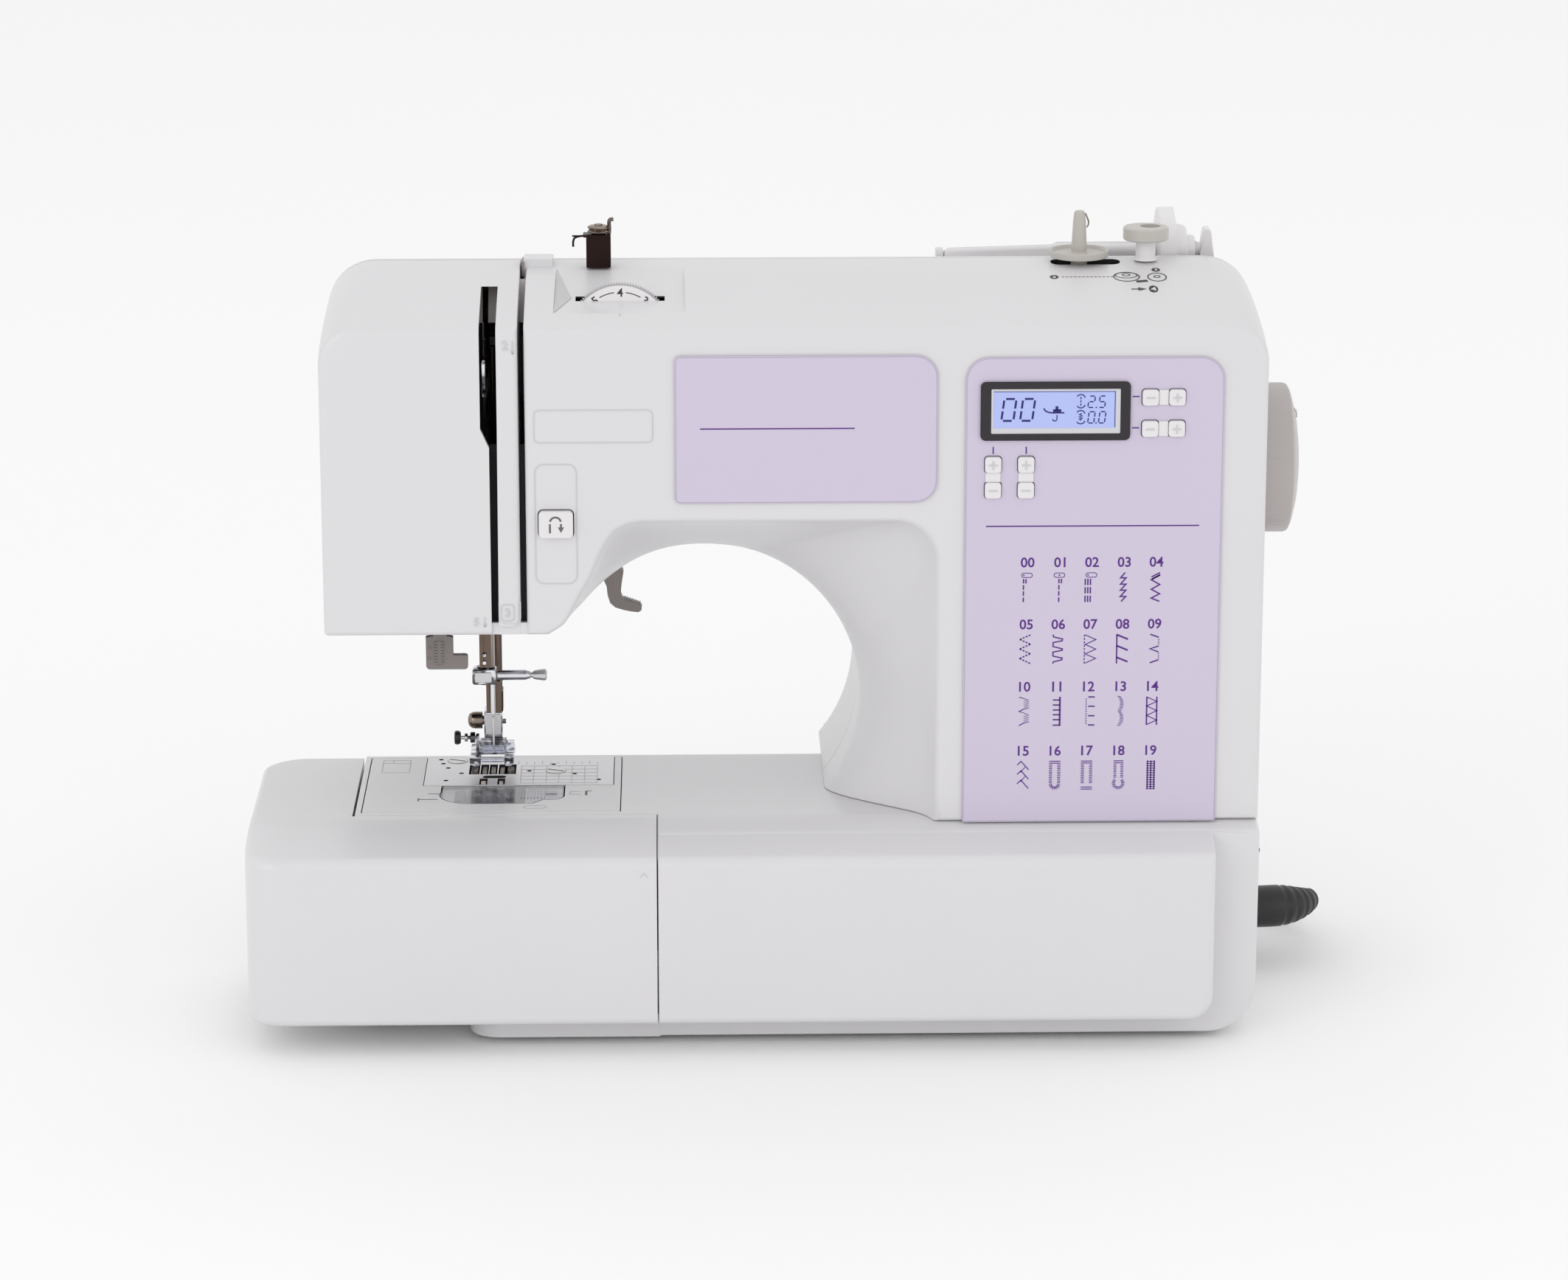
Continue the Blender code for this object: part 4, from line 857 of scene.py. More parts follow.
def base_housing():
    """Base under the column with the free arm, one moulding."""
    depth, shrink = front_profile(3.2)
    stations = [(y, True, s) for y, s in zip(depth, shrink)]
    stations += [(y, True, 0.0) for y in np.linspace(depth[-1], PAD_BACK, 8)[1:]]
    stations += [(y, False, s)
                 for y, s in ((PAD_BACK + 0.3, 1.2), (PAD_BACK + 0.7, 0.4), (PAD_BACK + 1.6, 0.0))]
    stations += [(y, False, 0.0) for y in np.linspace(-69, SLOPE_START, 8)]
    stations += [(y, False, 0.0) for y in (-30, 0, 40, 70, 74, 78, 81)]
    turn = np.linspace(0, math.pi / 2, 6)
    stations += [(BASE_BACK - 6 * (1 - math.sin(t)), False, 6 * (1 - math.cos(t))) for t in turn]
    rings = [stand(base_outline(y, narrow, s), y, "y") for y, narrow, s in stations]
    obj = make("base_housing_skin", net(rings), ("table", "cavity"), replaces="base_housing")
    section = round_box(ARM_FRONT, ARM_BACK, ARM_BOTTOM, BED, (8, 14, 10, 0.6), 8)
    combine(obj, prism(section, "x", ARM_LEFT, SEAM + 1), "UNION")
    behind = np.vstack(([(20, PAD_BOTTOM), (100, PAD_BOTTOM), (100, 100), (ARM_BACK - 10, 100)],
                        arc(ARM_BACK - 10, BED - 10, 10, 90, 0, 8),
                        arc(ARM_BACK - 14, ARM_BOTTOM + 14, 14, 0, -90, 8), [(20, ARM_BOTTOM)]))
    combine(obj, prism(behind, "x", SEAM - 0.5, STEP_X))
    tongue = prism(round_box(-121, SEAM + 1, PAD_BACK + 0.4, 60, (12, 1, 1, 12)), "z", BASE_BOTTOM, 11.8)
    combine(obj, tongue, "UNION")
    main = round_box(SEAM + WALL, RIGHT - WALL, 6, BED - 4, (1, 17, 1, 1), 6)
    combine(obj, prism(main, "y", -68, 17.5, 1))
    rear = round_box(STEP_X + WALL, RIGHT - WALL, 6, BED - 4, (1, 17, 1, 1), 6)
    combine(obj, prism(rear, "y", 17, 80, 1))
    combine(obj, block(SEAM + WALL, PAD_RIGHT - WALL, -83, -67, PAD_BOTTOM + WALL, 74, 1))
    inner = round_box(ARM_FRONT + WALL, ARM_BACK - WALL, ARM_BOTTOM + WALL, BED - 4, (6, 12, 6, 1), 6)
    combine(obj, prism(inner, "x", ARM_LEFT + 3, STEP_X + 8, 1))
    combine(obj, block(-38, 160, -62, 74, 0, 8, 1))
    combine(obj, block(-162.9, -61.2, -51.4, 24.6, 80, 95))
    combine(obj, block(180, 195, -48.5, -33.5, 51.5, 72.5, 1))
    combine(obj, column_well())


def accessory_table():
    """Slide-off extension table that wraps the free arm and holds the accessories."""
    right, back = SEAM - GAP, ARM_FRONT - 0.7

    def plan(front, edge):
        """L-shaped plan with its front edge at a depth, its outer sides moved in by edge."""
        x0, x1 = TABLE_LEFT + edge, ARM_LEFT - 1
        return np.vstack((arc(x0 + 13, front + 13, 13, 180, 270, 10),
                          [(right, front), (right, back), (x1, back), (x1, TABLE_BACK - edge)],
                          arc(x0 + 16, TABLE_BACK - edge - 16, 16, 90, 180, 10)))

    depth, shrink = front_profile(3.2)
    slope = np.linspace(depth[-1], back - 2.5, 12)[1:]
    turn = np.linspace(0, math.pi / 2, 6)
    fall = 3.2 * (1 - np.sin(turn))
    low = [(PAD_BOTTOM + 3.2 * (1 - math.cos(t)), BASE_FRONT + f, f) for t, f in zip(turn, fall)]
    high = [(float(base_top(y)) - s, y) for y, s in zip(depth, shrink)]
    high += [(float(base_top(y)), y) for y in slope]
    sides = eased((0, 0.1, 0.5, 1.3, 3.4), [z for z, _ in high], (74, 81, 85, 87.4, 88.6))
    rings = [stand(plan(front, edge), z, "z") for z, front, edge in low]
    rings += [stand(plan(front, edge), z, "z") for (z, front), edge in zip(high, sides)]
    obj = make("accessory_table_skin", net(rings), ("table", "cavity"), "accessory_table",
               replaces="accessory_table")
    front_room = round_box(TABLE_LEFT + 3, right - 3, BASE_FRONT + 3, back + 5, (11, 0.5, 0.5, 0.5))
    combine(obj, prism(front_room, "z", PAD_BOTTOM + 3, 74.5, 1))
    left_room = round_box(TABLE_LEFT + 3, ARM_LEFT + 4, back - 5, TABLE_BACK - 7, (0.5, 0.5, 0.5, 10))
    combine(obj, prism(left_room, "z", PAD_BOTTOM + 3, BED - 3.5, 1))


# ---- mains lead

def mains_lead(looks):
    """Connector with a ribbed strain relief, the cord with its stored coil, and the plug."""
    route = spline(CONNECTOR_ROUTE, 10)
    run = np.concatenate(([0], np.cumsum(np.linalg.norm(np.diff(route, axis=0), axis=1))))
    even = np.linspace(0, run[-1], 90)
    path = np.stack([np.interp(even, run, route[:, k]) for k in range(3)], 1)
    share = even / run[-1]
    radii = 8.6 - 4.9 * smooth((share - 0.36) / 0.64)
    ribs = np.where(share > 0.42, 0.42 * (np.sin((share - 0.42) * 2 * math.pi * 13) > 0), 0.0)
    radii = radii * np.clip(0.9 + share * 6, 0, 1) - ribs
    make("power_connector_body", tube(path, radii, 28), "black", replaces="power_connector",
         angle=50)

    centre = np.array(COIL)
    turns = np.linspace(0, looks.cord_turns + 0.5, (2 * looks.cord_turns + 1) * 14 + 1)
    start = COIL[1] - CORD_ROUTE[-1][1]
    least = COIL_R_IN + 0.5 * CORD_D + 0.1
    outer, upper, pitch, climb = COIL_R_OUT + 4.4, 9.5, 6.5, 0.36
    inner = (start - least) / pitch
    half = turns[-1] - inner - climb
    radius = np.where(turns < inner, start - pitch * turns, least)
    radius = np.where(turns > inner + climb, least + (outer - least) * (turns - inner - climb) / half, radius)
    height = CORD_ROUTE[-1][2] + (CORD_D + 0.15) * smooth((turns - inner + 0.02) / 0.38)
    angle = -math.pi / 2 - 2 * math.pi * turns
    coil = np.c_[centre[0] + radius * np.cos(angle), centre[1] + radius * np.sin(angle), height]
    lead = spline(CORD_ROUTE[:-1], 3)
    path = np.vstack((lead, coil[1:], [(COIL[0] + 3.0, COIL[1] + outer, upper)]))
    cord = make("power_cord_lead", tube(path, CORD_D / 2, 14), "rubber", replaces=("power_cord", "cord_coil"),
                angle=60)

    x0, y0, z0 = COIL[0], COIL[1] + outer, upper
    along = np.linspace(2, 53, 60)
    grip = smooth((along - 16) / 14)
    width = 3.5 + 6.4 * grip - 1.2 * smooth((along - 48) / 5)
    depth = 3.5 + 4.6 * grip - 0.9 * smooth((along - 48) / 5)
    groove = np.where((along < 18) & (np.sin(along * 2.4) > 0.2), 0.45, 0.0)
    turn = full_turn(28)
    power = 2 / (2 + 2.0 * grip)
    round_u = np.sign(np.cos(turn)) * np.abs(np.cos(turn)) ** power[:, None]
    round_v = np.sign(np.sin(turn)) * np.abs(np.sin(turn)) ** power[:, None]
    rings = np.stack((x0 + along[:, None] + 0 * turn, y0 + (width - groove)[:, None] * round_u,
                      z0 + (depth - groove)[:, None] * round_v), -1)
    pins = []
    for dy in (-6.35, 6.35):
        blade = round_box(x0 + 50, x0 + 70, z0 - 3.2, z0 + 3.2, (0.3, 2.2, 2.2, 0.3))
        pins.append(prism(blade, "y", y0 + dy - 0.75, y0 + dy + 0.75, 1, 0.2))
    plug = make("mains_plug_body", join(net(rings), *pins), ("black", "brass"), replaces="mains_plug",
                angle=45)
    around = round_box(COIL_R_IN - 0.6, 48.6, 0.05, 13.4, 3.0)
    angles = np.radians(np.linspace(-6, 6, 3))

    def round_coil(section, turned_by):
        """A section of the tie, as (reach, height), stood at several angles round the coil's centre."""
        return [np.c_[centre[0] + section[:, 0] * math.cos(a), centre[1] + section[:, 0] * math.sin(a),
                      section[:, 1]] for a in turned_by]

    band = round_coil(around, angles) + round_coil(inset(around, 0.9), angles[::-1])
    strap = make("cord_tie", net(band, close=True), "rubber")


# ---- panels and their marks

PANEL_FACE = FRONT - 1.1
SEGMENTS = {
    "a": ((0.14, 1), (0.86, 1)), "b": ((1, 0.93), (1, 0.56)), "c": ((1, 0.44), (1, 0.07)),
    "d": ((0.14, 0), (0.86, 0)), "e": ((0, 0.07), (0, 0.44)), "f": ((0, 0.56), (0, 0.93)),
    "g": ((0.16, 0.5), (0.84, 0.5)),
}
DIGITS = {"0": "abcdef", "2": "abged", "5": "afgcd"}


def on_front(shape, level=PANEL_FACE):
    """Lay marks, whose u and v are x and z, on the front."""
    return placed(shape, (0, level, 0))


def moved(shape, du, dv, dw=0.0):
    """Shift a shape along its own u, v and w."""
    return shape[0] + (du, dv, dw), shape[1]


def panels(lift):
    """The two lilac panels, each with a thin rim, and their ruled lines."""
    name = prism(round_box(-39.4, 60.8, 215.5, 272.9, (2, 8.5, 8.5, 2), 8), "y", PANEL_FACE, FRONT - GAP, 0,
                 0.25)
    rim = on_front(loop(round_box(-39.1, 60.5, 215.8, 272.6, (1.8, 8.2, 8.2, 1.8), 8), 0.28, lift, 1))
    make("name_panel_sheet", join(name, rim), ("panel", "panel_edge"), replaces="name_panel")
    chart = prism(round_box(71.4, 170, 87.6, 271.9, (1, 1, 9, 9), 8), "y", PANEL_FACE, FRONT - GAP, 0, 0.25)
    obj = make("pattern_panel_sheet", chart, ("panel", "panel_edge"), replaces="pattern_panel")
    # the key holes' walls take the darker lilac: painted shade in the holes
    combine(obj, join(*key_holes()))
    edge = on_front(loop(round_box(71.7, 169.7, 87.9, 271.6, (0.8, 0.8, 8.7, 8.7), 8), 0.28, lift))
    make("pattern_panel_rim", edge, "panel_edge")
    lines = strokes(0.5, lift, [(-29.7, 244.7), (29.1, 244.7)], [(79.6, 206), (161.3, 206)],
                    *[[(134.9, z), (137.5, z)] for z in (256.6, 244.4)],
                    *[[(x, 234.4), (x, 237.2)] for x in (82.0, 94.6)])
    make("panel_lines", on_front(join(*lines)), "print")


def lcd_number(text, x, z, width, height, pitch, thick, lift):
    """Seven-segment figures, leaning as the glass does; a point is a small square at the foot."""
    lean = 0.13
    parts = []
    for sign in text:
        if sign == ".":
            parts.append(stroke([(x - 0.25, z), (x + 0.25, z)], 0.5, lift))
            x += 0.9
            continue
        for name in DIGITS[sign]:
            line = np.array(SEGMENTS[name]) * (width, height)
            line[:, 0] += x + line[:, 1] * lean
            parts.append(stroke(line + (0, z), thick, lift))
        x += pitch
    return parts


def display(lift):
    """Dark bezel with a bevel painted pale as a highlight, the lit glass and the figures on it."""
    back = FRONT - 1.4
    outer = round_box(77, 134.1, 239.8, 262.6, 2)
    window = round_box(81, 130.3, 242.5, 259.9, 0.4)
    rings = [stand(outer, back, "y"), stand(outer, back - 0.75, "y"),
             stand(inset(outer, 0.3), back - 1.0, "y"), stand(window, back - 1.0, "y"),
             stand(window, back, "y")]
    glass = round_box(81.9, 128.6, 244.6, 259.0, 0.3)
    lip = inset(window, 0.05)
    bevel = [stand(lip, back - 0.1, "y"), stand(lip, back - 0.85, "y"), stand(glass, back - 0.55, "y"),
             stand(glass, back - 0.1, "y")]
    make("display_bezel_frame", net(rings, close=True), "bezel", replaces="display_bezel",
         angle=25)
    # the bevel's pale finish is a painted highlight
    make("display_bevel", net(bevel, close=True), "bezel_edge", angle=15)
    pane = prism(round_box(81.4, 129.9, 242.9, 259.5, 0.3), "y", back - 0.45, back)
    signs = [stroke([(82.0, 258.75), (128.4, 258.75)], 0.22, lift),
             stroke([(128.2, 258.6), (128.2, 244.9)], 0.28, lift)]
    signs += lcd_number("00", 84.9, 247.5, 4.6, 8.5, 7.15, 0.8, lift)
    signs += lcd_number("2.5", 117.8, 252.6, 2.3, 4.4, 3.2, 0.46, lift)
    signs += lcd_number("0.0", 117.8, 246.5, 2.3, 4.4, 3.2, 0.46, lift)
    signs.append(stroke([(101.0, 252.3), (101.7, 251.3), (102.9, 250.7), (104.5, 250.55), (108.9, 250.55)],
                        0.55, lift))
    signs += [stroke([(104.6, z), (107.7, z)], 0.65, lift) for z in (251.1, 251.6)]
    signs.append(stroke([(105.5, 252.4), (106.6, 252.4)], 1.4, lift))
    signs.append(stroke([(106.1, 249.7), (106.1, 248.1), (105.8, 247.5), (105.2, 247.3), (104.6, 247.6),
                         (104.5, 248.1)], 0.4, lift))
    for z in (252.4, 246.2):
        cell = round_box(113.5, 116.8, z, z + 5.2, 1.6)
        keep = len(cell) // 2
        signs += strokes(0.42, lift, cell[2:keep - 1], cell[keep + 1:-2])
    signs += [stroke([(115.15, z), (115.15, z + 0.9)], 0.4, lift) for z in (253.2, 254.5, 255.8)]
    signs.append(stroke([(115.6, 250.2), (114.6, 249.8), (115.8, 249.3), (114.5, 248.9), (115.8, 248.4),
                         (114.7, 248.0), (115.4, 247.6)], 0.42, lift))
    make("display_glass", pane, "display", replaces="display")
    make("display_signs", on_front(join(*signs), back - 0.45), "segments")


def dashes(u0, v0, u1, v1, count, fill, width, lift):
    """Even dashes along a line; fill is a dash's share of its pitch."""
    a, b = np.array((u0, v0), float), np.array((u1, v1), float)
    starts = np.arange(count) / (count - 1 + fill)
    return [stroke([a + (b - a) * s, a + (b - a) * min(s + fill / (count - 1 + fill), 1.0)], width, lift)
            for s in starts]


def radial(centre, inner, outer, start, end, count, width, lift):
    """Short bars standing round a centre between two radii."""
    turn = np.radians(np.linspace(start, end, count))
    ray = np.c_[np.cos(turn), np.sin(turn)]
    return [stroke([centre + inner * r, centre + outer * r], width, lift) for r in ray]


def stitch_icons(lift):
    """The twenty stitch drawings, each as strokes with u to the right and v down from the drawing's top."""
    thin, mid, bold = 0.42, 0.54, 0.7

    def line(points, width=mid):
        """One stroke from (right, down) pairs."""
        return [stroke([(u, -v) for u, v in points], width, lift)]

    def capsule(left, dot):
        """Needle plate hole with the needle's place in it."""
        rim = loop(round_box(left, left + 4.4, -2.0, 0, 0.95), 0.28, lift)
        return [rim, moved(stroke([(-0.28, 0), (0.28, 0)], 0.56, lift), dot, -1.0)]

    def rungs(u0, u1, tops, width=thin):
        """Level bars at several heights."""
        return [part for v in tops for part in line([(u0, v), (u1, v)], width)]

    icons = [capsule(-2.3, -1.35), capsule(-2.2, 0.0), capsule(-2.3, -1.35)]
    for k, spot in ((0, -1.4), (1, -0.15)):
        icons[k] += line([(spot, 2.5), (spot, 4.2)]) + line([(spot + 0.95, 2.5), (spot + 0.95, 4.2)])
        for v in (4.9, 7.3, 9.8):
            icons[k] += line([(spot, v), (spot, v + 1.8)])
    for spot in (-2.4, -1.4, -0.4):
        for v in (2.5, 5.8, 9.2):
            icons[2] += line([(spot, v), (spot, v + 2.5)])
    icons.append(line([(0.5, 0.1), (-1.2, 2.2), (0.9, 2.2), (-1.2, 4.7), (0.9, 4.7), (-1.2, 7.1), (0.9, 7.1),
                       (-1.2, 9.6), (0.9, 9.6), (-0.9, 11.6)]))
    icons.append(line([(1.6, 0.2), (-1.7, 1.9)]) + line([(1.6, 1.0), (-1.6, 2.8)])
                 + line([(1.6, 1.2), (-1.8, 3), (1.5, 4.9), (-1.7, 6.8), (1.5, 8.6), (-1.7, 10.3),
                         (1.5, 11.6)]))
    corners = [(1.8, 0.1), (-2.3, 1.9), (1.8, 3.8), (-2.3, 5.7), (1.8, 7.6), (-2.3, 9.5), (1.8, 11.5)]
    icons.append([part for a, b in zip(corners, corners[1:])
                  for part in dashes(a[0], -a[1], b[0], -b[1], 4, 0.62, mid, lift)])
    icons.append(line([(-1.8, 0), (-1.7, 0.9), (1.8, 1.8), (1.7, 2.5), (-1.8, 3.2), (-1.8, 4.8), (1.8, 5.7),
                       (1.7, 6.3), (-1.8, 7), (-1.8, 8.6), (1.8, 9.4), (1.6, 10.1), (-1.6, 10.9),
                       (-1.8, 11.6)], 0.5))
    icons.append(dashes(-2.1, -0.1, -2.1, -11.6, 9, 0.6, thin, lift)
                 + line([(-1.8, 0.2), (2.3, 2.1), (-1.8, 4), (2.3, 5.9), (-1.8, 7.8), (2.3, 9.6),
                         (-1.8, 11.5)], 0.36))
    icons.append(line([(-2, 0), (-2, 11.7)])
                 + [part for v in (0.2, 4.6, 9.2) for part in line([(-2, v), (2.3, v + 1.8)],
                                                                                             bold)])
    icons.append(line([(-1.5, 0.1), (1.8, 1.3)]) + line([(1.8, 4.8), (-1.5, 5.9), (1.8, 7.2)])
                 + line([(1.8, 10.3), (-1.5, 11.5)]) + dashes(1.8, -2.0, 1.8, -4.3, 4, 0.5, thin, lift)
                 + dashes(1.8, -7.7, 1.8, -10.0, 4, 0.5, thin, lift))
    teeth = [(1.7, 1.2)] + [(-0.1 if k % 2 == 0 else 1.8, 1.5 + 0.42 * k) for k in range(9)]
    icons.append(line([(-2, 0.1)] + teeth + [(-2, 5.8), (1.6, 7.0)]
                      + [(u, v + 5.6) for u, v in teeth[1:]] + [(-2, 11.5)], 0.4))
    icons.append(line([(1.4, 0.0), (1.4, 11.7)], bold)
                 + rungs(-1.3, 1.4, (1.3, 3.3, 5.3, 7.2, 9.2, 11.4), mid))
    icons.append(dashes(-0.8, -0.8, -0.8, -11.0, 11, 0.5, thin, lift)
                 + rungs(0, 2.5, (0.15, 3.9, 7.7, 11.4), mid))
    wave = np.linspace(0, 11.6, 22)
    bulge = 0.2 + 1.1 * np.abs(np.sin(wave / 11.6 * 2 * math.pi)) ** 0.7
    icons.append([stroke([(b - 0.75, -v + 0.12), (b + 0.6, -v - 0.12)], 0.24, lift)
                  for b, v in zip(bulge - 0.6, wave)])
    icons.append(line([(-2.1, 0.2), (-2.1, 11.5)]) + line([(1.8, 0.2), (1.8, 11.5)])
                 + line([(-2.1, 0.3), (1.8, 2.1), (-2.1, 3.9), (1.8, 5.8), (-2.1, 7.7), (1.8, 9.6),
                         (-2.1, 11.4)], 0.36))
    icons.append([part for k in range(3) for part in line([(-2.2, 1.6 + 3.8 * k), (-0.7, 0.1 + 3.8 * k),
                                                          (2.2, 3.5 + 3.8 * k)], 0.4)]
                 + line([(-0.9, 4.6), (0.9, 2.4)], 0.3) + line([(-0.9, 8.4), (0.9, 6.2)], 0.3))
    comb = np.arange(1.7, 9.6, 0.72)
    top = rungs(-2.2, 2.2, (0.15, 0.95), 0.36)
    sides = rungs(-2.2, -1.0, comb, 0.34) + rungs(1.0, 2.2, comb, 0.34)
    icons.append(top + sides + radial(np.array((0, -9.4)), 1.0, 2.25, 190, 350, 9, 0.34, lift))
    icons.append(top + sides + rungs(-2.2, 2.2, (10.7, 11.5), 0.36))
    neck = np.arange(1.7, 7.4, 0.72)
    icons.append(rungs(-1.9, 1.9, (0.15, 0.95), 0.36) + rungs(-1.9, -0.8, neck, 0.34)
                 + rungs(0.8, 1.9, neck, 0.34)
                 + radial(np.array((0, -9.2)), 1.3, 2.5, 138, 402, 15, 0.34, lift))
    icons.append([part for u in (-1.1, 0.2, 1.5) for part in line([(u, 0.1), (u, 11.6)], 0.5)]
                 + rungs(-1.5, 1.9, np.arange(0.4, 11.6, 0.93), 0.3))
    return icons


def stitch_chart(lift):
    """Twenty numbered stitches in four rows of five."""
    parts = []
    for k, icon in enumerate(stitch_icons(lift)):
        x, z = 95.7 + 12.38 * (k % 5) - 0.25 * (k // 5), (191.7, 167.1, 142.2, 116.4)[k // 5]
        parts.append(moved(numeral(f"{k:02d}", 4.0, lift), x, z))
        parts += [moved(stroke_shape, x - 0.1, z - 4.1) for stroke_shape in icon]
    make("stitch_chart", on_front(join(*parts)), "print")


# ---- keys

def keys(lift):
    """Eight soft-cornered keys with raised signs, the white bridges between them, and the reverse key."""
    face = FRONT - 2.8
    half = KEY / 2
    for name, (x, z) in KEYS.items():
        cap = prism(round_box(x - half, x + half, z - half, z + half, 1.3), "y", face, FRONT + 3.2, 0, 0.55)
        # the raised signs take the darker raised finish: painted shade
        signs = [stroke([(x - 1.7, z), (x + 1.7, z)], 0.6, 0.22, 1)]
        if "plus" in name:
            signs.append(stroke([(x, z - 1.7), (x, z + 1.7)], 0.6, 0.24, 1))
        make(f"{name}_cap", join(cap, on_front(join(*signs), face)), ("key", "emboss"), name, replaces=name)
    bridges = [pad(x - 1.85, x + 1.85, FRONT - 1.9, PANEL_FACE + 0.02, z - 2.9, z + 2.9, "y", 0.3, 0.25)
               for x, z in ((146.8, 256.3), (146.8, 244.1))]
    bridges += [pad(x - 2.9, x + 2.9, FRONT - 1.9, PANEL_FACE + 0.02, 225.3 - 1.8, 225.3 + 1.8, "y", 0.3,
                    0.25)
                for x in (82.0, 94.6)]
    make("key_bridges", join(*bridges), "key")

    x0, x1, z0, z1 = REVERSE
    cap = prism(round_box(x0, x1, z0, z1, 1.6), "y", FRONT - 2.6, FRONT + 4, 0, 0.35)
    arrow = strokes(0.75, lift, [(-87.2, 204.6), (-87.2, 208.2)], arc(-85.1, 208.7, 2.1, 168, 12, 8),
                    [(-83.0, 208.2), (-83.0, 206.2)], tint=1)
    head = prism([(-84.2, 206.9), (-81.8, 206.9), (-83.0, 204.7)][::-1], "z", 0, lift * 0.9, 1)
    make("reverse_key_cap", join(cap, on_front(join(head, *arrow), FRONT - 2.6)), ("key", "grey_print"),
         "reverse_key", replaces="reverse_key")
    # the raised frames are darker than the body: painted shade
    frames = [loop(round_box(-93, -76.8, 183.9, 231.1, 3.5), 0.35, 0.22),
              loop(round_box(-93.1, -47.6, 239.2, 252.2, 2.2), 0.35, 0.22)]
    make("raised_frames", on_front(join(*frames), FRONT), "emboss")


def head_marks():
    """Raised thread-path numbers and arrows on the face cover and its bar."""
    lift = 0.3

    def arrow(u, v, size):
        """Arrow pointing down."""
        return [stroke([(u, v + size), (u, v - size)], 0.36, lift),
                stroke([(u - 0.7, v - size + 1.0), (u, v - size), (u + 0.7, v - size + 1.0)], 0.34, lift)]

    # the raised marks are darker than the body: painted shade
    marks = [moved(numeral("5", 3.2, lift), -115.9, 169.0), *arrow(-112.6, 169.0, 1.8),
             moved(numeral("3", 3.4, lift), -103.8, 172.6),
             loop(round_box(-106.4, -101.2, 169.2, 176, 1.6), 0.25, lift),
             # a thin dark line round the bar's rounded foot: painted shadow of the step
             stroke(np.vstack(([(-107.2, 177)], arc(-104.6, 170.8, 2.6, 180, 270, 6),
                               arc(-101.5, 170.8, 2.6, 270, 360, 6), [(-98.9, 177)])), 0.3, 0.1),
             moved(numeral("2", 3.6, lift), -103.4, 277.2), *arrow(-100.6, 276.4, 2.4)]
    make("thread_path_marks", on_front(join(*marks), FRONT), "emboss")
    # the raised table mark is darker than the table: painted shade
    make("table_mark", on_front(stroke([(-53.6, 72.6), (-52.2, 74.4), (-50.8, 72.6)], 0.35, 0.15),
                                BASE_FRONT), "emboss",
         "accessory_table")


# ---- top

SINK = 0.05


def on_slope(shape, y, sink=SINK):
    """Lay a mark on the top's slope at a depth, sunk a little so that no edge of it lifts off the curve."""
    rise = float(front_top(y + 0.5)) - float(front_top(y - 0.5))
    up = np.array((0, 1, rise)) / math.hypot(1, rise)
    return placed(shape, (0, y, float(front_top(y)) - sink), (1, 0, 0), up)


def tension_dial(lift):
    """Numbered dial with a serrated rim, tilted in its slot: the rim's radius ripples round the wheel."""
    count = 480
    turn = full_turn(count)
    teeth = DIAL_R + 0.1 + 0.4 * np.sign(np.sin(turn * 120 + 0.01))
    rings = []
    for radius, height in ((0, -4), (DIAL_R - 1.2, -4), (None, -3.4), (None, 0.6), (DIAL_R - 0.9, 1), (0, 1)):
        reach = teeth if radius is None else np.full(count, float(radius))
        rings.append(np.c_[reach * np.cos(turn), reach * np.sin(turn), np.full(count, float(height))])
    # the rim rows take the grey finish: painted shade between the teeth of the white rim
    wheel = net(rings, tint_rows=(0, 0, 2, 2, 0))
    marks = []
    for value, angle in ((4, 90.0), (5, 126.5), (3, 53.5), (6, 163.0), (2, 17.0), (7, 199.5), (1, -19.5)):
        points, blocks = numeral(str(value), 3.3, lift)
        lean = math.radians(angle - 90)
        turned_by = np.array(((math.cos(lean), math.sin(lean), 0), (-math.sin(lean), math.cos(lean), 0),
                              (0, 0, 1)))
        spot = np.array((math.cos(math.radians(angle)), math.sin(math.radians(angle)), 0)) * 16.1
        marks.append((points @ turned_by + spot + (0, 0, 1), tinted((points, blocks), 1)[1]))
    for middle in (71.5, 108.5, 145.5, 34.5, 182.5, -2.5):
        marks.append(moved(stroke(arc(0, 0, 16.2, middle - 10.5, middle + 10.5, 8), 0.36, lift, 1), 0, 0, 1))
    tilt = (math.sin(DIAL_TILT), math.cos(DIAL_TILT))
    shape = placed(join(wheel, *marks), DIAL, (1, 0, 0), (0, tilt[0], tilt[1]))
    make("tension_dial_wheel", shape, ("key", "segment_ink", "pale_print"), "tension_dial",
         replaces="tension_dial", angle=40)
    tick = stroke([(DIAL[0], -0.9), (DIAL[0], 0.9)], 0.4, lift)
    make("dial_tick", on_slope(tick, -55.2, 0.02), "pale_print")
    # a darker sheet on the recess's left slope: painted shade
    side = np.array([(-85.1, -53.2, 287.5), (-78.7, -38, 289.95), (-84.7, -12.5, 296.6)])
    make("dial_recess_shade_sheet", net((side, side + (0, -0.02, 0.12))), "recess")


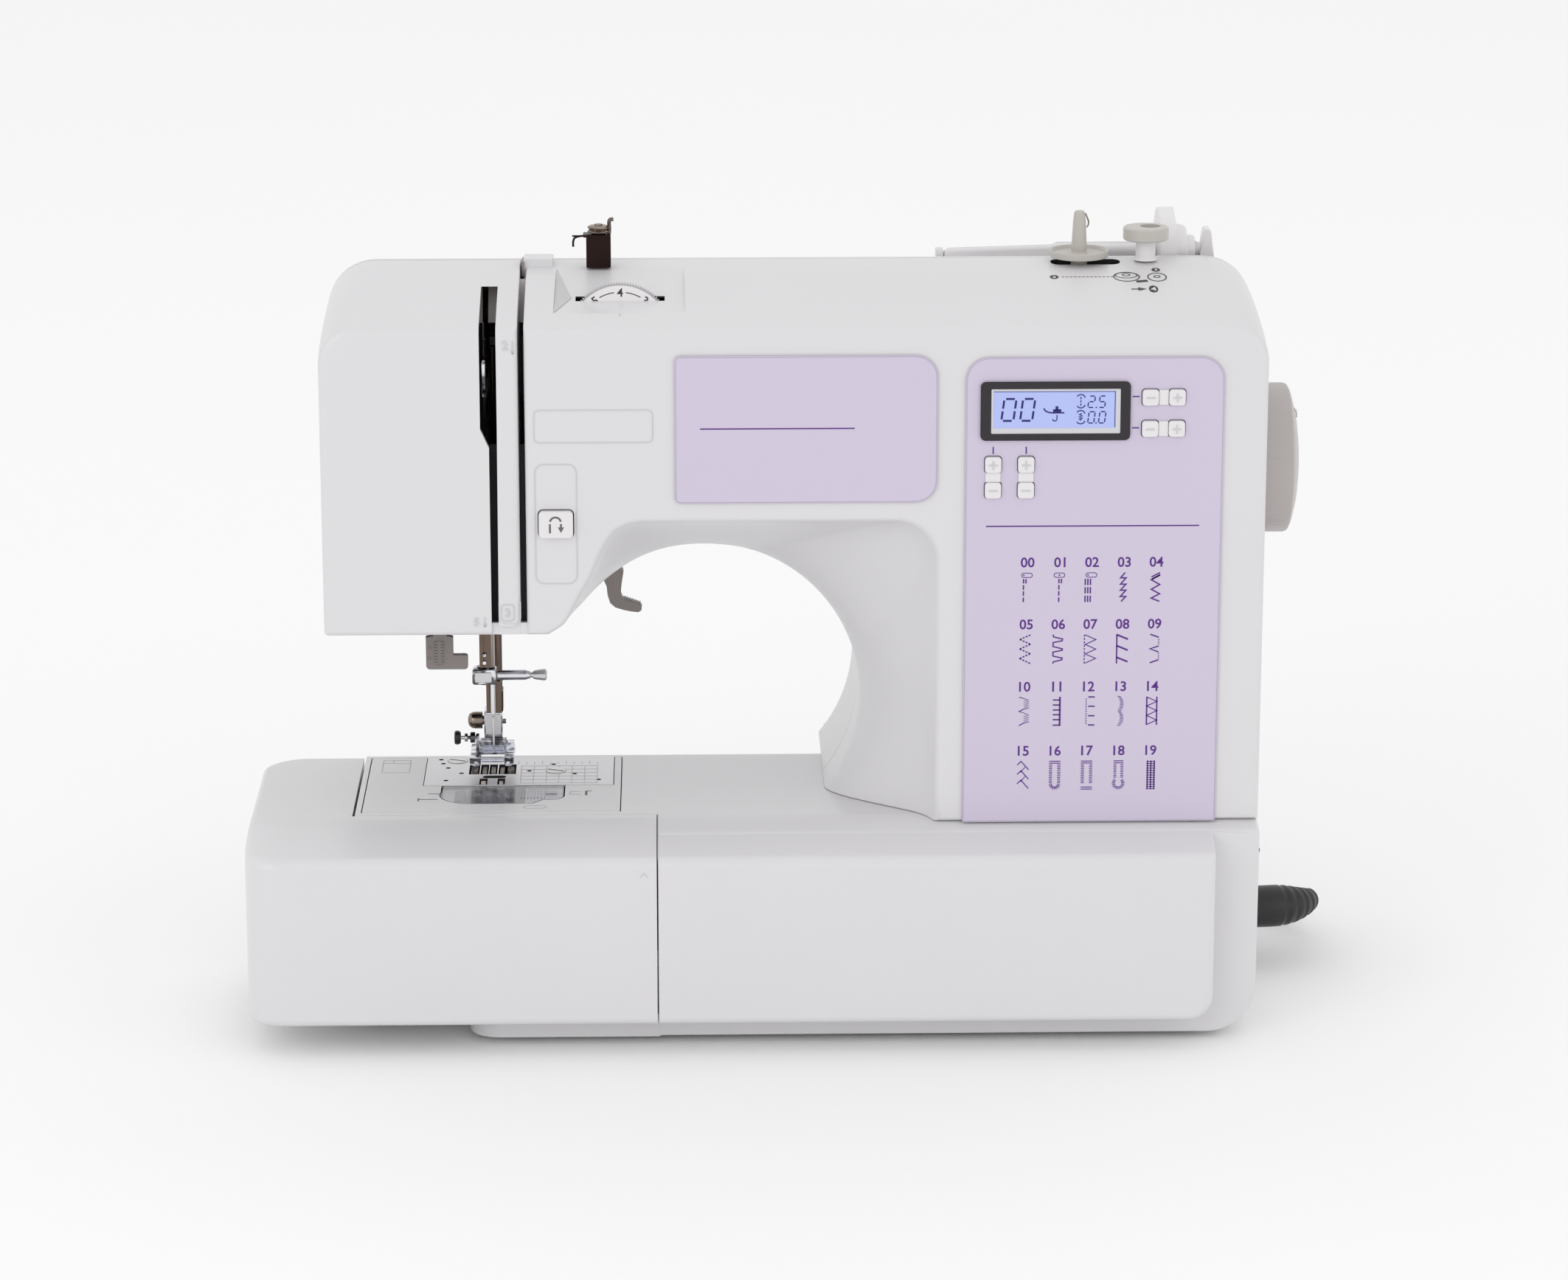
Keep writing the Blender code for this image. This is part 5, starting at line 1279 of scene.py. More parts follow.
def thread_guide():
    """Folded bracket, its pretension discs and two bent wires."""
    bracket = pad(-73.2, -63.7, -14, -8, 297.2, 309.4, "y", 0.5, 0.2)
    shelf = pad(-74.4, -63.7, -14.4, -7.6, 309.2, 310.2, "z", 0.8, 0.15)
    discs = turned([(0, 310.2), (2.2, 310.2), (4.2, 310.9), (4.35, 311.2), (3.6, 311.9), (4.3, 312.6),
                    (4.35, 312.9), (3.4, 313.4), (1.6, 313.5), (1.5, 314.0), (0, 314.1)], (-68.4, -11, 0),
                   tint=1)
    hook = spline([(-72, -13.6, 309.9), (-75.5, -13.8, 309.7), (-77.6, -13.9, 309.0), (-78.2, -13.9, 307.4),
                   (-78.2, -13.9, 305.6)], 8)
    bent = spline([(-64.3, -11, 310.0), (-64.2, -11, 312.4), (-64.3, -11, 314.6), (-63.9, -11, 315.6),
                   (-62.6, -11, 315.8)], 8)
    wires = [tube(hook, 0.42, 10, (0, 1, 0)), tube(bent, 0.75, 10, (0, 1, 0), tint=1)]
    lip = pad(-78.6, -72.6, -14.3, -13.5, 309.5, 310.1, "y", 0.2, 0.1)
    make("thread_guide_bracket", join(bracket, shelf, discs, lip, *wires), ("guide", "nickel"),
         replaces="thread_guide")


def winder():
    """Bobbin winder: dished seat and tapered shaft with its spring, and the stop."""
    dish = [(0, 284), (3.2, 284), (3.2, 298.2), (8.5, 298.6), (11.2, 299.2), (11.6, 299.8), (11.6, 301.6),
            (11.3, 301.9), (10.7, 301.6), (10.2, 300.7), (3.9, 300.5), (3.1, 301.2), (2.75, 308), (2.5, 313),
            (2.1, 316.6), (1.5, 317.2), (0, 317.2)]
    seat = turned(dish, (WINDER_X, WINDER_Y, 0), sides=64)
    spring = tube(spline([(WINDER_X + 2.3, WINDER_Y, 316.2), (WINDER_X + 3.4, WINDER_Y, 313.4),
                          (WINDER_X + 3.5, WINDER_Y, 311.8), (WINDER_X + 2.9, WINDER_Y, 310.6)], 8), 0.3, 8,
                  (0, 1, 0), tint=1)
    make("winder_shaft_seat", join(seat, spring), ("beige", "nickel"), "winder_shaft",
         replaces="winder_shaft", angle=35)
    disc = rod(8.9, 305.8, 310.8, (STOP_X, WINDER_Y, 0), sides=64, edge=0.5)
    post = turned([(0, 297.8), (4.6, 297.8), (3.9, 299.2), (3.9, 305.9), (0, 305.9)], (STOP_X, WINDER_Y, 0))
    obj = make("winder_stop_disc", join(disc, tinted(post, 1)), ("beige", "key"), replaces="winder_stop")
    combine(obj, rod(4.0, 309.2, 312, (STOP_X + 1.8, WINDER_Y + 1.5, 0), sides=40))


def winder_print(lift):
    """Printed winder diagram on the top's slope: a dashed thread, a bobbin, two steps and an arrow."""
    lift += SINK

    def oval(x, wide, high):
        """A filled ellipse."""
        turn = full_turn(24)
        return prism(np.c_[x + wide * np.cos(turn), high * np.sin(turn)], "z", 0, lift)

    def ring(x, wide, high, line):
        """An ellipse outline."""
        turn = full_turn(32)
        return loop(np.c_[x + wide * np.cos(turn), high * np.sin(turn)], line, lift)

    near, mid, far = -36.0, -24.0, -16.5
    marks = [on_slope(part, mid) for part in dashes(110.5, 0, 130.5, 0, 13, 0.66, 0.5, lift)]
    marks += [on_slope(oval(107.6, 1.7, 2.1), mid), on_slope(oval(147.6, 1.7, 2.2), far),
              on_slope(oval(145.0, 1.8, 3.2), near)]
    marks += [on_slope(ring(135.6, 5.2, 5.0, 0.5), mid), on_slope(ring(135.6, 4.4, 3.2, 0.45), mid + 1.5),
              on_slope(ring(135.6, 1.7, 1.5, 0.5), mid + 2), on_slope(ring(147.4, 3.8, 4.5, 0.5), mid - 0.5),
              on_slope(ring(147.4, 1.4, 1.4, 0.5), mid)]
    marks += [on_slope(stroke([(136.5, 0), (139.8, 0)], 0.8, lift), near),
              on_slope(stroke([(139.2, 1.1), (141.4, 0), (139.2, -1.1)], 0.9, lift), near),
              on_slope(stroke([(139.0, 0), (143.4, 0.8)], 2.0, lift), mid - 5)]
    make("winder_path_print", join(*marks), "segment_ink")
    figures = [on_slope(moved(numeral(text, height, 0.08), x, 0), y)
               for text, height, x, y in (("2", 2.2, 107.6, mid), ("4", 3.2, 145, near),
                                          ("3", 2.2, 147.6, far))]
    make("winder_step_numbers", moved(join(*figures), 0, 0, 0.06), "key")


def spool_holder():
    """Spool pin with its fin, and the stepped spool cap on it."""
    pin = rod(2.6, 111, 170, (0, SPOOL_Y, SPOOL_Z), "x", 32, 0.4)
    rib = pad(112, 168, SPOOL_Y - 0.7, SPOOL_Y + 0.7, SPOOL_Z - 3.0, SPOOL_Z + 3.0, "x", 0.5, 0.3)
    fin = [(167.7, 276.3), (176.2, 276.3), (175.2, 290), (173.4, 303.2), (172.8, 304.4), (171.0, 304.4),
           (170.4, 303.4), (168.4, 290)]
    upright = prism(fin, "y", SPOOL_Y - 4, SPOOL_Y + 4, 0, 0.4)
    make("spool_pin_holder", join(pin, rib, upright), "key", replaces="spool_pin",
         angle=25)
    cap = [(3.3, 152.0), (16.4, 152.2), (16.6, 152.6), (16.6, 158.4), (12.0, 159.3), (10.4, 159.5),
           (9.9, 160.2), (9.4, 162.6), (8.6, 163.6), (6.0, 163.9), (5.6, 164.4), (5.4, 166.4), (4.9, 167.0),
           (3.3, 167.0)]
    make("spool_cap_flange", turned(cap, (0, SPOOL_Y, SPOOL_Z), "x", 64, close=True), "key", "spool_cap",
         replaces="spool_cap", angle=35)


def carry_handle():
    """Low carrying handle: a rounded bar with a finger hole, thickest at its right end."""
    z0, z1 = HANDLE_Z - 4, HANDLE_Z + 4
    outer = round_box(69, 165, HANDLE_Y - 3.5, 84.5, (1.5, 1.5, 8, 8), 8)
    points, faces = prism(outer, "z", z0, z1, 0, 1.8, 4)
    points[:, 2] += np.where(points[:, 2] > HANDLE_Z, 2.6 - 2.8 * (165 - points[:, 0]) / 96, 0)
    points[:, 2] -= 6.6 * smooth((points[:, 1] - 56) / 26)
    obj = make("carry_handle_grip", (points, faces), "key", "carry_handle", replaces="carry_handle")
    combine(obj, prism(round_box(76.5, 157.5, HANDLE_Y + 4, 77, (2, 2, 4, 4), 6), "z", z0 - 5, z1 + 5))


def handwheel():
    """Handwheel with a dished face, a finger groove and fine ridges round its rim."""
    x0, x1 = WHEEL_X
    r = WHEEL_R
    count = 180
    turn = full_turn(count)
    profile = [(0, x0), (r - 2.2, x0), (r - 0.6, x0 + 0.6), (r, x0 + 1.8), (r, x0 + 6.0), (r, x1 - 5.6),
               (r - 0.5, x1 - 4.4), (r - 2.0, x1 - 3.6), (r - 9, x1 - 1.7), (r - 15, x1 - 0.8),
               (r - 16.0, x1 - 1.6), (r - 17.4, x1 - 1.8), (r - 18.0, x1 - 0.9), (4, x1), (0, x1)]
    rings = []
    for radius, height in profile:
        ripple = 0.0 if radius < r - 0.1 else 0.12 * np.cos(turn * 60)
        reach = radius + ripple - (0.12 if radius > r - 0.1 else 0)
        rings.append(np.c_[np.full(count, height), SHAFT_Y + reach * np.cos(turn), SHAFT_Z
                           + reach * np.sin(turn)])
    make("handwheel_rim", net(rings), "wheel", "handwheel", replaces="handwheel", angle=28)
    mark = placed(join(stroke(arc(0, 0, 19.5, 60, 112, 10), 0.5, 0.1),
                       stroke([(-6.0, 20.6), (-7.6, 18.0), (-4.6, 17.3)], 0.45, 0.1)),
                  (x1 - 1.25, SHAFT_Y, SHAFT_Z), (0, 1, 0), (0, 0, 1))
    make("handwheel_arrow", mark, "lever", "handwheel")


# ---- sewing head

def needle_parts():
    """Needle bar with its bracket, clamp, screw and needle."""
    nx, ny = NEEDLE
    bar = rod(2.6, 134.4, 275, (NEEDLE_BAR_X, ny, 0), edge=0.3)
    bracket = pad(-117.3, -112.7, ny - 3.9, ny - 2.4, 135.0, 172, "y", 0.4, 0.2, 1)
    side = pad(-117.3, -116.5, ny - 3.4, ny + 2.5, 137.0, 172, "x", 0.4, 0.1, 1)
    screws = [turned([(0, ny - 4.7), (0.7, ny - 4.7), (0.95, ny - 4.3), (0.95, ny - 3.8), (0, ny - 3.8)],
                     (-115.3, 0, z), "y", 20, tint=2) for z in (137.2, 140.4)]
    make("needle_bar_rod", join(bar, bracket, side, *screws), ("steel", "dark_steel", "chrome"), "needle_bar",
         replaces="needle_bar")
    clamp = pad(-120.3, -110.8, ny - 3.6, ny + 3.4, 127.9, 134.2, "y", 1.0, 0.5)
    face = pad(-119.2, -112.6, ny - 4.0, ny - 3.4, 128.9, 133.0, "y", 0.5, 0.2, 1)
    collar = rod(3.4, 127.5, 134.7, (NEEDLE_BAR_X - 1.4, ny + 0.6, 0), edge=0.4)
    make("needle_clamp_block", join(clamp, face, collar), ("chrome", "plate"), "needle_bar",
         replaces="needle_clamp")
    knob = [(0, -110.5), (1.9, -110.5), (2.05, -110.2), (2.05, -99.2), (1.6, -98.2), (1.6, -97.6),
            (1.1, -97.0), (1.1, -96.2), (0, -96.2)]
    grip = [(0, -96.3), (1.5, -96.3), (1.9, -95.2), (2.3, -92.0), (2.3, -91.4), (1.8, -90.8), (0, -90.7)]
    make("needle_clamp_thumb",
         join(turned(knob, (0, ny, 131.0), "x"), turned(grip, (0, ny, 131.0), "x", 9, tint=1)),
         ("chrome_rod", "plate"), "needle_clamp_screw", replaces="needle_clamp_screw", angle=25)
    tip = [(0, 99), (0.12, 99.2), (0.32, 101.4), (0.44, 103.6), (0.45, 113), (0.6, 114), (0.9, 115.4),
           (0.9, 127.6), (0, 127.6)]
    make("needle_blade", turned(tip, (nx, ny, 0), sides=20), "needle", "needle_bar", replaces="needle")


def presser_parts():
    """Presser bar with its collar, ankle, thumb screw and the clear foot with its levelling knob."""
    px, py = PRESSER
    bar = join(rod(2.1, 114.0, 262, (px, py, 0), edge=0.2), rod(2.5, 125.4, 126.4, (px, py, 0), edge=0.2))
    make("presser_bar_rod", bar, "dark_steel", "presser_bar", replaces="presser_bar")
    ankle = [(1.6, 113.8), (1.6, 106), (3.0, 102.9), (8.2, 102.9), (12, 106), (12, 113.8)]
    block_part = prism(ankle, "x", -116.2, -108.9, 0, 0.4)
    face = pad(-115.7, -109.4, 1.2, 1.7, 105.0, 113.4, "y", 0.4, 0.15, 1)
    stem = join(pad(-113.6, -108.6, 4.5, 12.5, 113.4, 122.0, "y", 0.5, 0.3, 2),
                pad(-115.2, -109.2, 1.8, 3.8, 113.2, 127.0, "y", 0.5, 0.3, 2))
    pin = rod(1.0, -108.95, -107.6, (0, 7, 108.9), "x", 20, 0.2)
    make("foot_holder_block", join(block_part, face, stem, pin), ("chrome", "plate", "dark_steel"),
         "presser_bar", replaces="foot_holder")
    dome = [(0, -122.9), (1.3, -122.8), (2.5, -122.2), (3.2, -121.2), (3.4, -120.0), (3.4, -117.0),
            (0, -117.0)]
    neck = [(0, -117.3), (1.9, -117.3), (1.9, -116.4), (0, -116.4)]
    obj = make("foot_screw_head",
               join(turned(dome, (0, 7, 109.4), "x", 40), turned(neck, (0, 7, 109.4), "x", 24)), "nickel",
               "foot_screw", replaces="foot_screw", angle=30)
    combine(obj, block(-123, -121.6, 6.6, 7.4, 105, 114))

    z0 = FOOT_BOTTOM
    left = [(-121.8, -9), (-121.2, -12), (-119.6, -14), (-117.8, -13.6), (-117.2, -11), (-117.2, -1.2),
            (-117.2, 3), (-121.8, 3)]
    right = [(-108, 3), (-108, -1.2), (-108, -11), (-107.4, -13.6), (-105.8, -14), (-104.5, -12),
             (-104.1, -9), (-104.1, 3)]
    soles = [prism(left, "z", z0, z0 + 2.2, 0, 0.4), prism(right, "z", z0, z0 + 2.2, 0, 0.4)]
    toes = []
    for x0, x1 in ((-121.6, -117.4), (-107.8, -104.3)):
        tip = np.vstack(([(-13.6, z0 + 1.2), (-9, z0 + 0.4), (-9, z0 + 1.8), (-12.4, z0 + 2.6)],
                         arc(-13.2, z0 + 3.4, 1.0, -60, -200, 5)))
        toes.append(prism(tip, "x", x0, x1, 0, 0.15))
    heel = pad(-121.8, -104.1, 3.0, 12, z0, z0 + 2.2, "z", 1.0, 0.4)
    bridge = pad(-118, -107.4, 3.2, 7.2, z0 + 1.8, 102.2, "x", 0.6, 0.3)
    cross = rod(0.8, -118.6, -106.8, (0, 5.2, 100.6), "x", 20, 0.1)
    make("presser_foot_frame", join(*soles, *toes, heel, bridge, cross), "chrome", "presser_foot",
         replaces="presser_foot")
    window = pad(-117.0, -108.2, -9.5, -6.6, z0 + 0.5, z0 + 1.9, "z", 0.4, 0.2)
    blade = prism([(-1.2, z0 + 2.4), (0.2, z0 + 2.4), (1.6, 102.6), (0.6, 102.6)], "x", -107.0, -104.2, 0,
                  0.15)
    shelf = pad(-116.8, -108.4, -1.0, 2.6, z0 + 2.0, 100.2, "y", 0.6, 0.3)
    make("presser_foot_window", join(window, blade, shelf), "smoke", "presser_foot")
    axis = (0, 1.2, 103.8)
    screw = [rod(radius, low, high, axis, "x", sides, edge) for radius, low, high, sides, edge in (
        (0.75, -126.0, -118.2, 16, 0.1), (1.7, -124.0, -122.8, 20, 0.1), (2.2, -121.8, -119.8, 20, 0.2))]
    screw.append(pad(-119.6, -118.2, -0.6, 3.2, z0 + 2.0, 105.0, "x", 0.4, 0.2))
    make("foot_level_pin", join(*screw), "chrome", "presser_foot")
    knob = [(0, -128.1), (2.3, -128.1), (2.8, -127.6), (2.8, -126.4), (2.2, -125.6), (0, -125.6)]
    make("foot_level_knob", turned(knob, axis, "x", 10), "black", "presser_foot",
         angle=20)


def levers():
    """Presser lever with a ribbed toe, buttonhole lever with raised marks, and the take-up lever."""
    outline = [(-88, 178), (-73, 163.5), (-68.4, 160.2), (-67.2, 157.4), (-66.8, 153.6), (-65.8, 150.5),
               (-63.7, 148.6), (-60.1, 147.5), (-57.2, 146.9), (-54.4, 146.6), (-53.2, 147.4), (-53.0, 149.2),
               (-55.0, 150.5), (-58.6, 151.6), (-60.7, 152.6), (-61.5, 154.6), (-61.1, 158.6), (-60.3, 163.6),
               (-62.5, 169), (-72, 180), (-79, 187), (-88, 187)]
    arm = prism(outline, "y", 33.6, 38.4, 0, 0.5)
    ribs = [rod(0.42, 33.9, 38.1, (x, 0, z), "y", 12, 0.1) for x, z in zip(np.linspace(-59.7, -53.9, 7),
                                                                        np.linspace(152.1, 150.0, 7))]
    make("presser_lever_arm", join(arm, *ribs), "lever", "presser_lever", replaces="presser_lever")

    plate = np.vstack(([(-137.3, 153.8)], arc(-135.8, 142.2, 1.5, 180, 270, 5),
                       arc(-122.2, 142.0, 1.3, 270, 360, 5), arc(-121.9, 145.6, 1.0, 0, 90, 4),
                       [(-126.6, 146.6)], [(-126.6, 153.8), (-129.2, 154.4), (-129.2, 208),
                                                                         (-134.4, 208), (-134.4, 154.4)]))
    hook = prism(plate, "y", -30.5, -27.3, 0, 0.35)
    marks = [stroke([(-133.8, 142.6), (-130.6, 142.6)], 0.35, 0.2),
             stroke([(-133.8, 152.2), (-130.6, 152.2)], 0.35, 0.2)]
    for z in np.arange(143.6, 151.8, 1.15):
        marks += [stroke([(-134.1, z), (-132.9, z)], 0.45, 0.4),
                  stroke([(-131.3, z), (-130.1, z)], 0.45, 0.4)]
    for z, way_up in ((149.6, 1), (145.2, -1)):
        marks.append(stroke([(-136.5, z - 0.6 * way_up), (-135.8, z + 0.6 * way_up),
                             (-135.1, z - 0.6 * way_up)], 0.3, 0.2))
    make("buttonhole_lever_plate", join(hook, on_front(join(*marks), -30.5)), "lever", "buttonhole_lever",
         replaces="buttonhole_lever")

    take = np.vstack((arc(-15, 255, 5, -120, 120, 12), [(-30, 259), (-44, 258), (-51, 261), (-56, 269)],
                      arc(-59.4, 268.6, 1.9, 40, 180, 6),
                      [(-59.5, 262), (-54, 255), (-44, 253), (-30, 252.6)]))
    lever = make("take_up_arm", prism(take, "x", -112.8, -111.2, 0, 0.3), "chrome", "take_up_lever",
                 replaces="take_up_lever")
    combine(lever, rod(0.8, -114, -110, (0, -58.8, 266.6), "x", 20))
    combine(lever, rod(2.2, -114, -110, (0, -15, 255), "x", 24))
    slant = [(-20, 293.9), (-30, 278.9), (-30.6, 279.3), (-20.6, 294.3)]
    guards = [prism(slant, "x", x0, x1) for x0, x1 in ((-114.6, -113.1), (-110.9, -96.0))]
    make("take_up_guards", join(*guards), "wheel")
    turn = full_turn(24)
    eyes = []
    for z0, z1 in ((257.5, 265), (267.5, 276)):
        ring = np.c_[-112 + 0.75 * np.cos(turn), np.full(24, -46.5), (z0 + z1) / 2
                     + (z1 - z0) / 2 * np.sin(turn)]
        eyes.append(tube(np.vstack((ring, ring[:1])), 0.22, 8, (0, 1, 0)))
    make("take_up_eyes", join(*eyes), "chrome_rod", "take_up_lever")


# ---- bed

def on_bed(shape, z, x=0, y=0):
    """Lay marks, whose u and v are x and y, on the bed or the plate."""
    return placed(shape, (x, y, z), (1, 0, 0), (0, 1, 0))


def feed_spans():
    """The feed dog's rows of teeth as x and y spans."""
    rows = [(-122, -119), (-117.4, -115.4), (-113.9, -111.9), (-110.2, -108.4), (-107.3, -104.4)]
    return [(x0, x1, 2.4, 11) for x0, x1 in rows] + [(x0, x1, -12, -8.8) for x0, x1 in (rows[1], rows[3])]


def slotted_screw(x, y):
    """A big flat screw head with its slot."""
    head = turned([(0, PLATE_TOP - 0.3), (3.9, PLATE_TOP - 0.3), (3.9, PLATE_TOP + 0.12),
                   (3.5, PLATE_TOP + 0.3), (0, PLATE_TOP + 0.34)], (x, y, 0), sides=40)
    a = math.radians(-24)
    # the slot is a dark strip laid on the head: painted shade in the groove
    groove = stroke([(-3.4 * math.cos(a), -3.4 * math.sin(a)), (3.4 * math.cos(a), 3.4 * math.sin(a))], 1.0,
                    0.06, 1)
    return [head, on_bed(groove, PLATE_TOP + 0.31, x, y)]


def needle_plate(lift):
    """Needle plate with its slots, screws and engraved guide lines."""
    outline = [(-140, -15.2), (-64.6, -15.2), (-64.6, 24.2), (-140, 24.2)]
    obj = make("needle_plate_sheet", prism(outline, "z", PLATE_TOP - 1.2, PLATE_TOP, 0, 0.2, 2),
               ("plate", "cavity"), replaces="needle_plate")
    nx, ny = NEEDLE
    cuts = [prism(round_box(nx - 4.6, nx + 4.8, ny - 2.0, ny + 1.6, 1.7), "z", 80, 95, 1)]
    cuts += [block(x0 - 0.6, x1 + 0.6, y0 - 2.6, y1 + 2.6, 80, 95, 1) for x0, x1, y0, y1 in feed_spans()]
    small = ((-134.5, 21.0), (-133.4, 15.2), (-131.2, 9.0), (-125.6, 1.4), (-131.4, -8.6), (-98.5, 4.4),
             (-89.0, 13.6), (-80.2, 0.0), (-70.5, -8.4))
    cuts += [rod(1.0, 80, 95, (x, y, 0), sides=20, tint=1) for x, y in small]
    combine(obj, join(*cuts))
    lines = [stroke([(x, -12.9), (x, 11.1)], 0.24, lift) for x in np.arange(-101.7, -71, 5.1)]
    lines += [stroke([(-101.7, y), (-71.1, y)], 0.24, lift) for y in np.arange(-12.9, 11.2, 4.8)]
    lines += [stroke([(x, 14.0), (x, 18.0 if k % 3 == 0 else 16.4)], 0.28, lift)
              for k, x in enumerate(np.arange(-103.0, -70.5, 3.18))]
    make("needle_plate_lines", on_bed(join(*lines), PLATE_TOP), "pale_print")
    spots = ((-127.7, 19.0), (-87.8, 4.2))
    screws = [part for x, y in spots for part in slotted_screw(x, y)]
    # a dark ring round each screw head: painted shade in the gap
    gap = tinted(loop(arc(0, 0, 4.15, 0, 350, 35), 0.25, 0.05), 1)
    screws += [on_bed(gap, PLATE_TOP, x, y) for x, y in spots]
    make("needle_plate_screws", join(*screws), ("plate", "dark_steel"))
    shape = [block(-123, -103.6, -12.6, 14, 80, 82)]
    for x0, x1, y0, y1 in feed_spans():
        pitch = 0.8
        count = int((y1 - y0) / pitch)
        y = y0 + pitch * np.arange(count)
        profile = np.vstack((np.stack((np.c_[y, np.full(count, 87.9)],
                                       np.c_[y + pitch * 0.75, np.full(count, 88.85)]),
                                      1).reshape(-1, 2), [(y1, 87.9), (y1, 81.5), (y0, 81.5)]))
        shape.append(prism(profile[::-1], "x", x0 + 0.1, x1 - 0.1))
    dog = make("feed_dog_teeth", join(*shape), "steel", "feed_dog", replaces="feed_dog",
               angle=20)
    combine(dog, block(-118.5, -106.5, -7.6, 0.6, 78, 84))


def plate_surround(lift):
    """White unit round the needle plate, with its printed latch marks."""
    outer = round_box(-162.5, -61.6, -51, 24.3, 1.2)
    obj = make("plate_surround_sheet", prism(outer, "z", 84.6, BED + 0.1, 0, 0.3), ("shell", "cavity"),
               replaces="plate_surround")
    curve = arc(-120.6, -27.6, 12.7, 165, 270, 12)
    window = np.vstack(([(-140.3, -15.4), (-132.9, -15.4)], curve, [(-96, -40.3), (-92, -35.3)],
                        arc(-89.1, -29.8, 5.5, 270, 360, 8), [(-83.6, -15.4), (-64.3, -15.4)]))
    for back, low, high, tint in ((21, 80, 86.9, 1), (24.9, 86.85, 95, 0)):
        combine(obj, prism(np.vstack((window, [(-64.3, back), (-140.3, back)])), "z", low, high, tint))
    shelf = prism([(-99.2, -39.6), (-96.4, -39.6), (-92.6, -35.0), (-84.6, -35.0), (-84.6, -15.9),
                   (-99.2, -15.9)], "z", 85.9,
                  86.7)
    left = prism(np.vstack((arc(-120.6, -27.6, 11.8, 165, 256, 8), [(-122, -16.2), (-132, -16.2)])), "z",
                 85.5, 86.2)
    make("cover_shelf", join(shelf, left), "shell")
    make("hook_latch", pad(-127.2, -122.6, -33.5, -19.5, 79.2, 86.95, "y", 1.0, 0.5), "black")
    marks = [loop(np.array([(-157.8, 3.5), (-146.5, 3.5), (-146.5, 20.7), (-157.8, 20.7)]), 0.3, lift),
             loop(round_box(-99.5, -90.5, -47.0, -43.0, 1.9), 0.3, lift),
             *strokes(0.3, lift, [(-157.8, 16.6), (-146.5, 16.6)], [(-153.6, 16.6), (-153.6, 20.7)]),
             *strokes(0.35, lift, [(-81.6, -24.6), (-77.2, -24.6)], [(-81.6, -28.2), (-77.2, -28.2)],
                      [(-81.6, -24.6), (-81.6, -28.2)])]
    make("surround_marks", on_bed(join(*marks), BED + 0.1), "pale_print")
    latch = [stroke([(-75.2, -23.6), (-75.2, -29.4)], 1.0, lift),
             *strokes(0.6, lift, [(-75.2, -23.8), (-73.0, -23.8)], [(-137.6, -26.4), (-132.6, -26.4)],
                      [(-141.5, -34.0), (-133.6, -34.0)]),
             stroke([(-141.2, -32.4), (-141.2, -36.4)], 0.5, lift)]
    make("latch_marks", on_bed(join(*latch), BED + 0.1), "grey_print")
    # a dark ring down in the gap round the surround: painted shade between the parts
    gap = loop(round_box(-162.85, -61.25, -51.35, 24.65, 1.5), 0.3, 0.05)
    make("surround_gap_shade", on_bed(gap, BED - 0.6), "cavity")


def bobbin_parts():
    """Clear cover with a ribbed grip, and the hook, case and bobbin below it."""
    curve = arc(-120.6, -27.6, 12.2, 165, 270, 12)
    outline = np.vstack(([(-132.2, -15.8)], curve, [(-96.3, -39.8), (-92.3, -34.8)],
                         arc(-89.1, -29.8, 5.0, 270, 360, 8), arc(-85.6, -17.3, 1.5, 0, 90, 4)))
    cover = prism(outline, "z", 87.1, BED, 0, 0.2)
    ribs = [pad(x, x + 0.5, -32.8, -17.0, BED - 0.05, BED + 0.22, "z", 0.2, 0.08)
            for x in np.arange(-101, -91.5, 1.3)]
    square = pad(-91.2, -86.8, -27.6, -20.6, BED - 0.05, BED + 0.25, "z", 0.4, 0.1)
    make("bobbin_cover_lid", join(cover, *ribs, square), "clear", "bobbin_cover", replaces="bobbin_cover")
    hx, hy = HOOK
    ring = [(0, 52), (3, 52), (3, 59), (14.5, 59), (16.3, 60.5), (16.3, 77), (15, 77), (15, 61), (0, 61)]
    make("rotary_hook_cup", turned(ring, (hx, hy, 0), sides=64), "chrome", "rotary_hook",
         replaces="rotary_hook", angle=25)
    case = [(0, 61.4), (14.2, 61.4), (14.5, 61.8), (14.5, 78.4), (13.9, 79), (12.2, 79), (12.2, 63.4),
            (0, 63.4)]
    make("bobbin_case_cup", turned(case, (hx, hy, 0), sides=64), "black", replaces="bobbin_case",
         angle=25)
    spool = [(3, 64), (9.9, 64), (10.3, 64.4), (10.3, 65.0), (4.8, 65.5), (4.6, 66), (4.6, 73.9), (4.8, 74.3),
             (10.3, 74.7), (10.3, 75.2), (9.9, 75.6), (3, 75.6)]
    make("bobbin_reel", turned(spool, (hx, hy, 0), sides=56, close=True), "plate", "bobbin",
         replaces="bobbin", angle=30)


def feet():
    """Rubber feet with a hollow below."""
    for name, y in (("foot_front_left", -50), ("foot_back_left", 46)):
        profile = [(0, 0.6), (5.2, 0.6), (5.8, 0.0), (7.2, 0.0), (8, 0.7), (8, 2.2), (0, 2.2)]
        make(f"{name}_pad", turned(profile, (-108, y, 0)), "rubber", replaces=name)
    side = [(182.5, 53.5), (188, 53.5), (189.0, 54.2), (189.3, 55.4), (188.4, 58.6), (187.7, 62),
            (188.6, 65.4), (190.2, 68.6), (190.3, 69.6), (189.4, 70.5), (182.5, 70.5)]
    make("power_switch_rocker", prism(side, "y", -46.5, -35.5, 0, 0.4), "black", "power_switch",
         replaces="power_switch")


# ---- stage

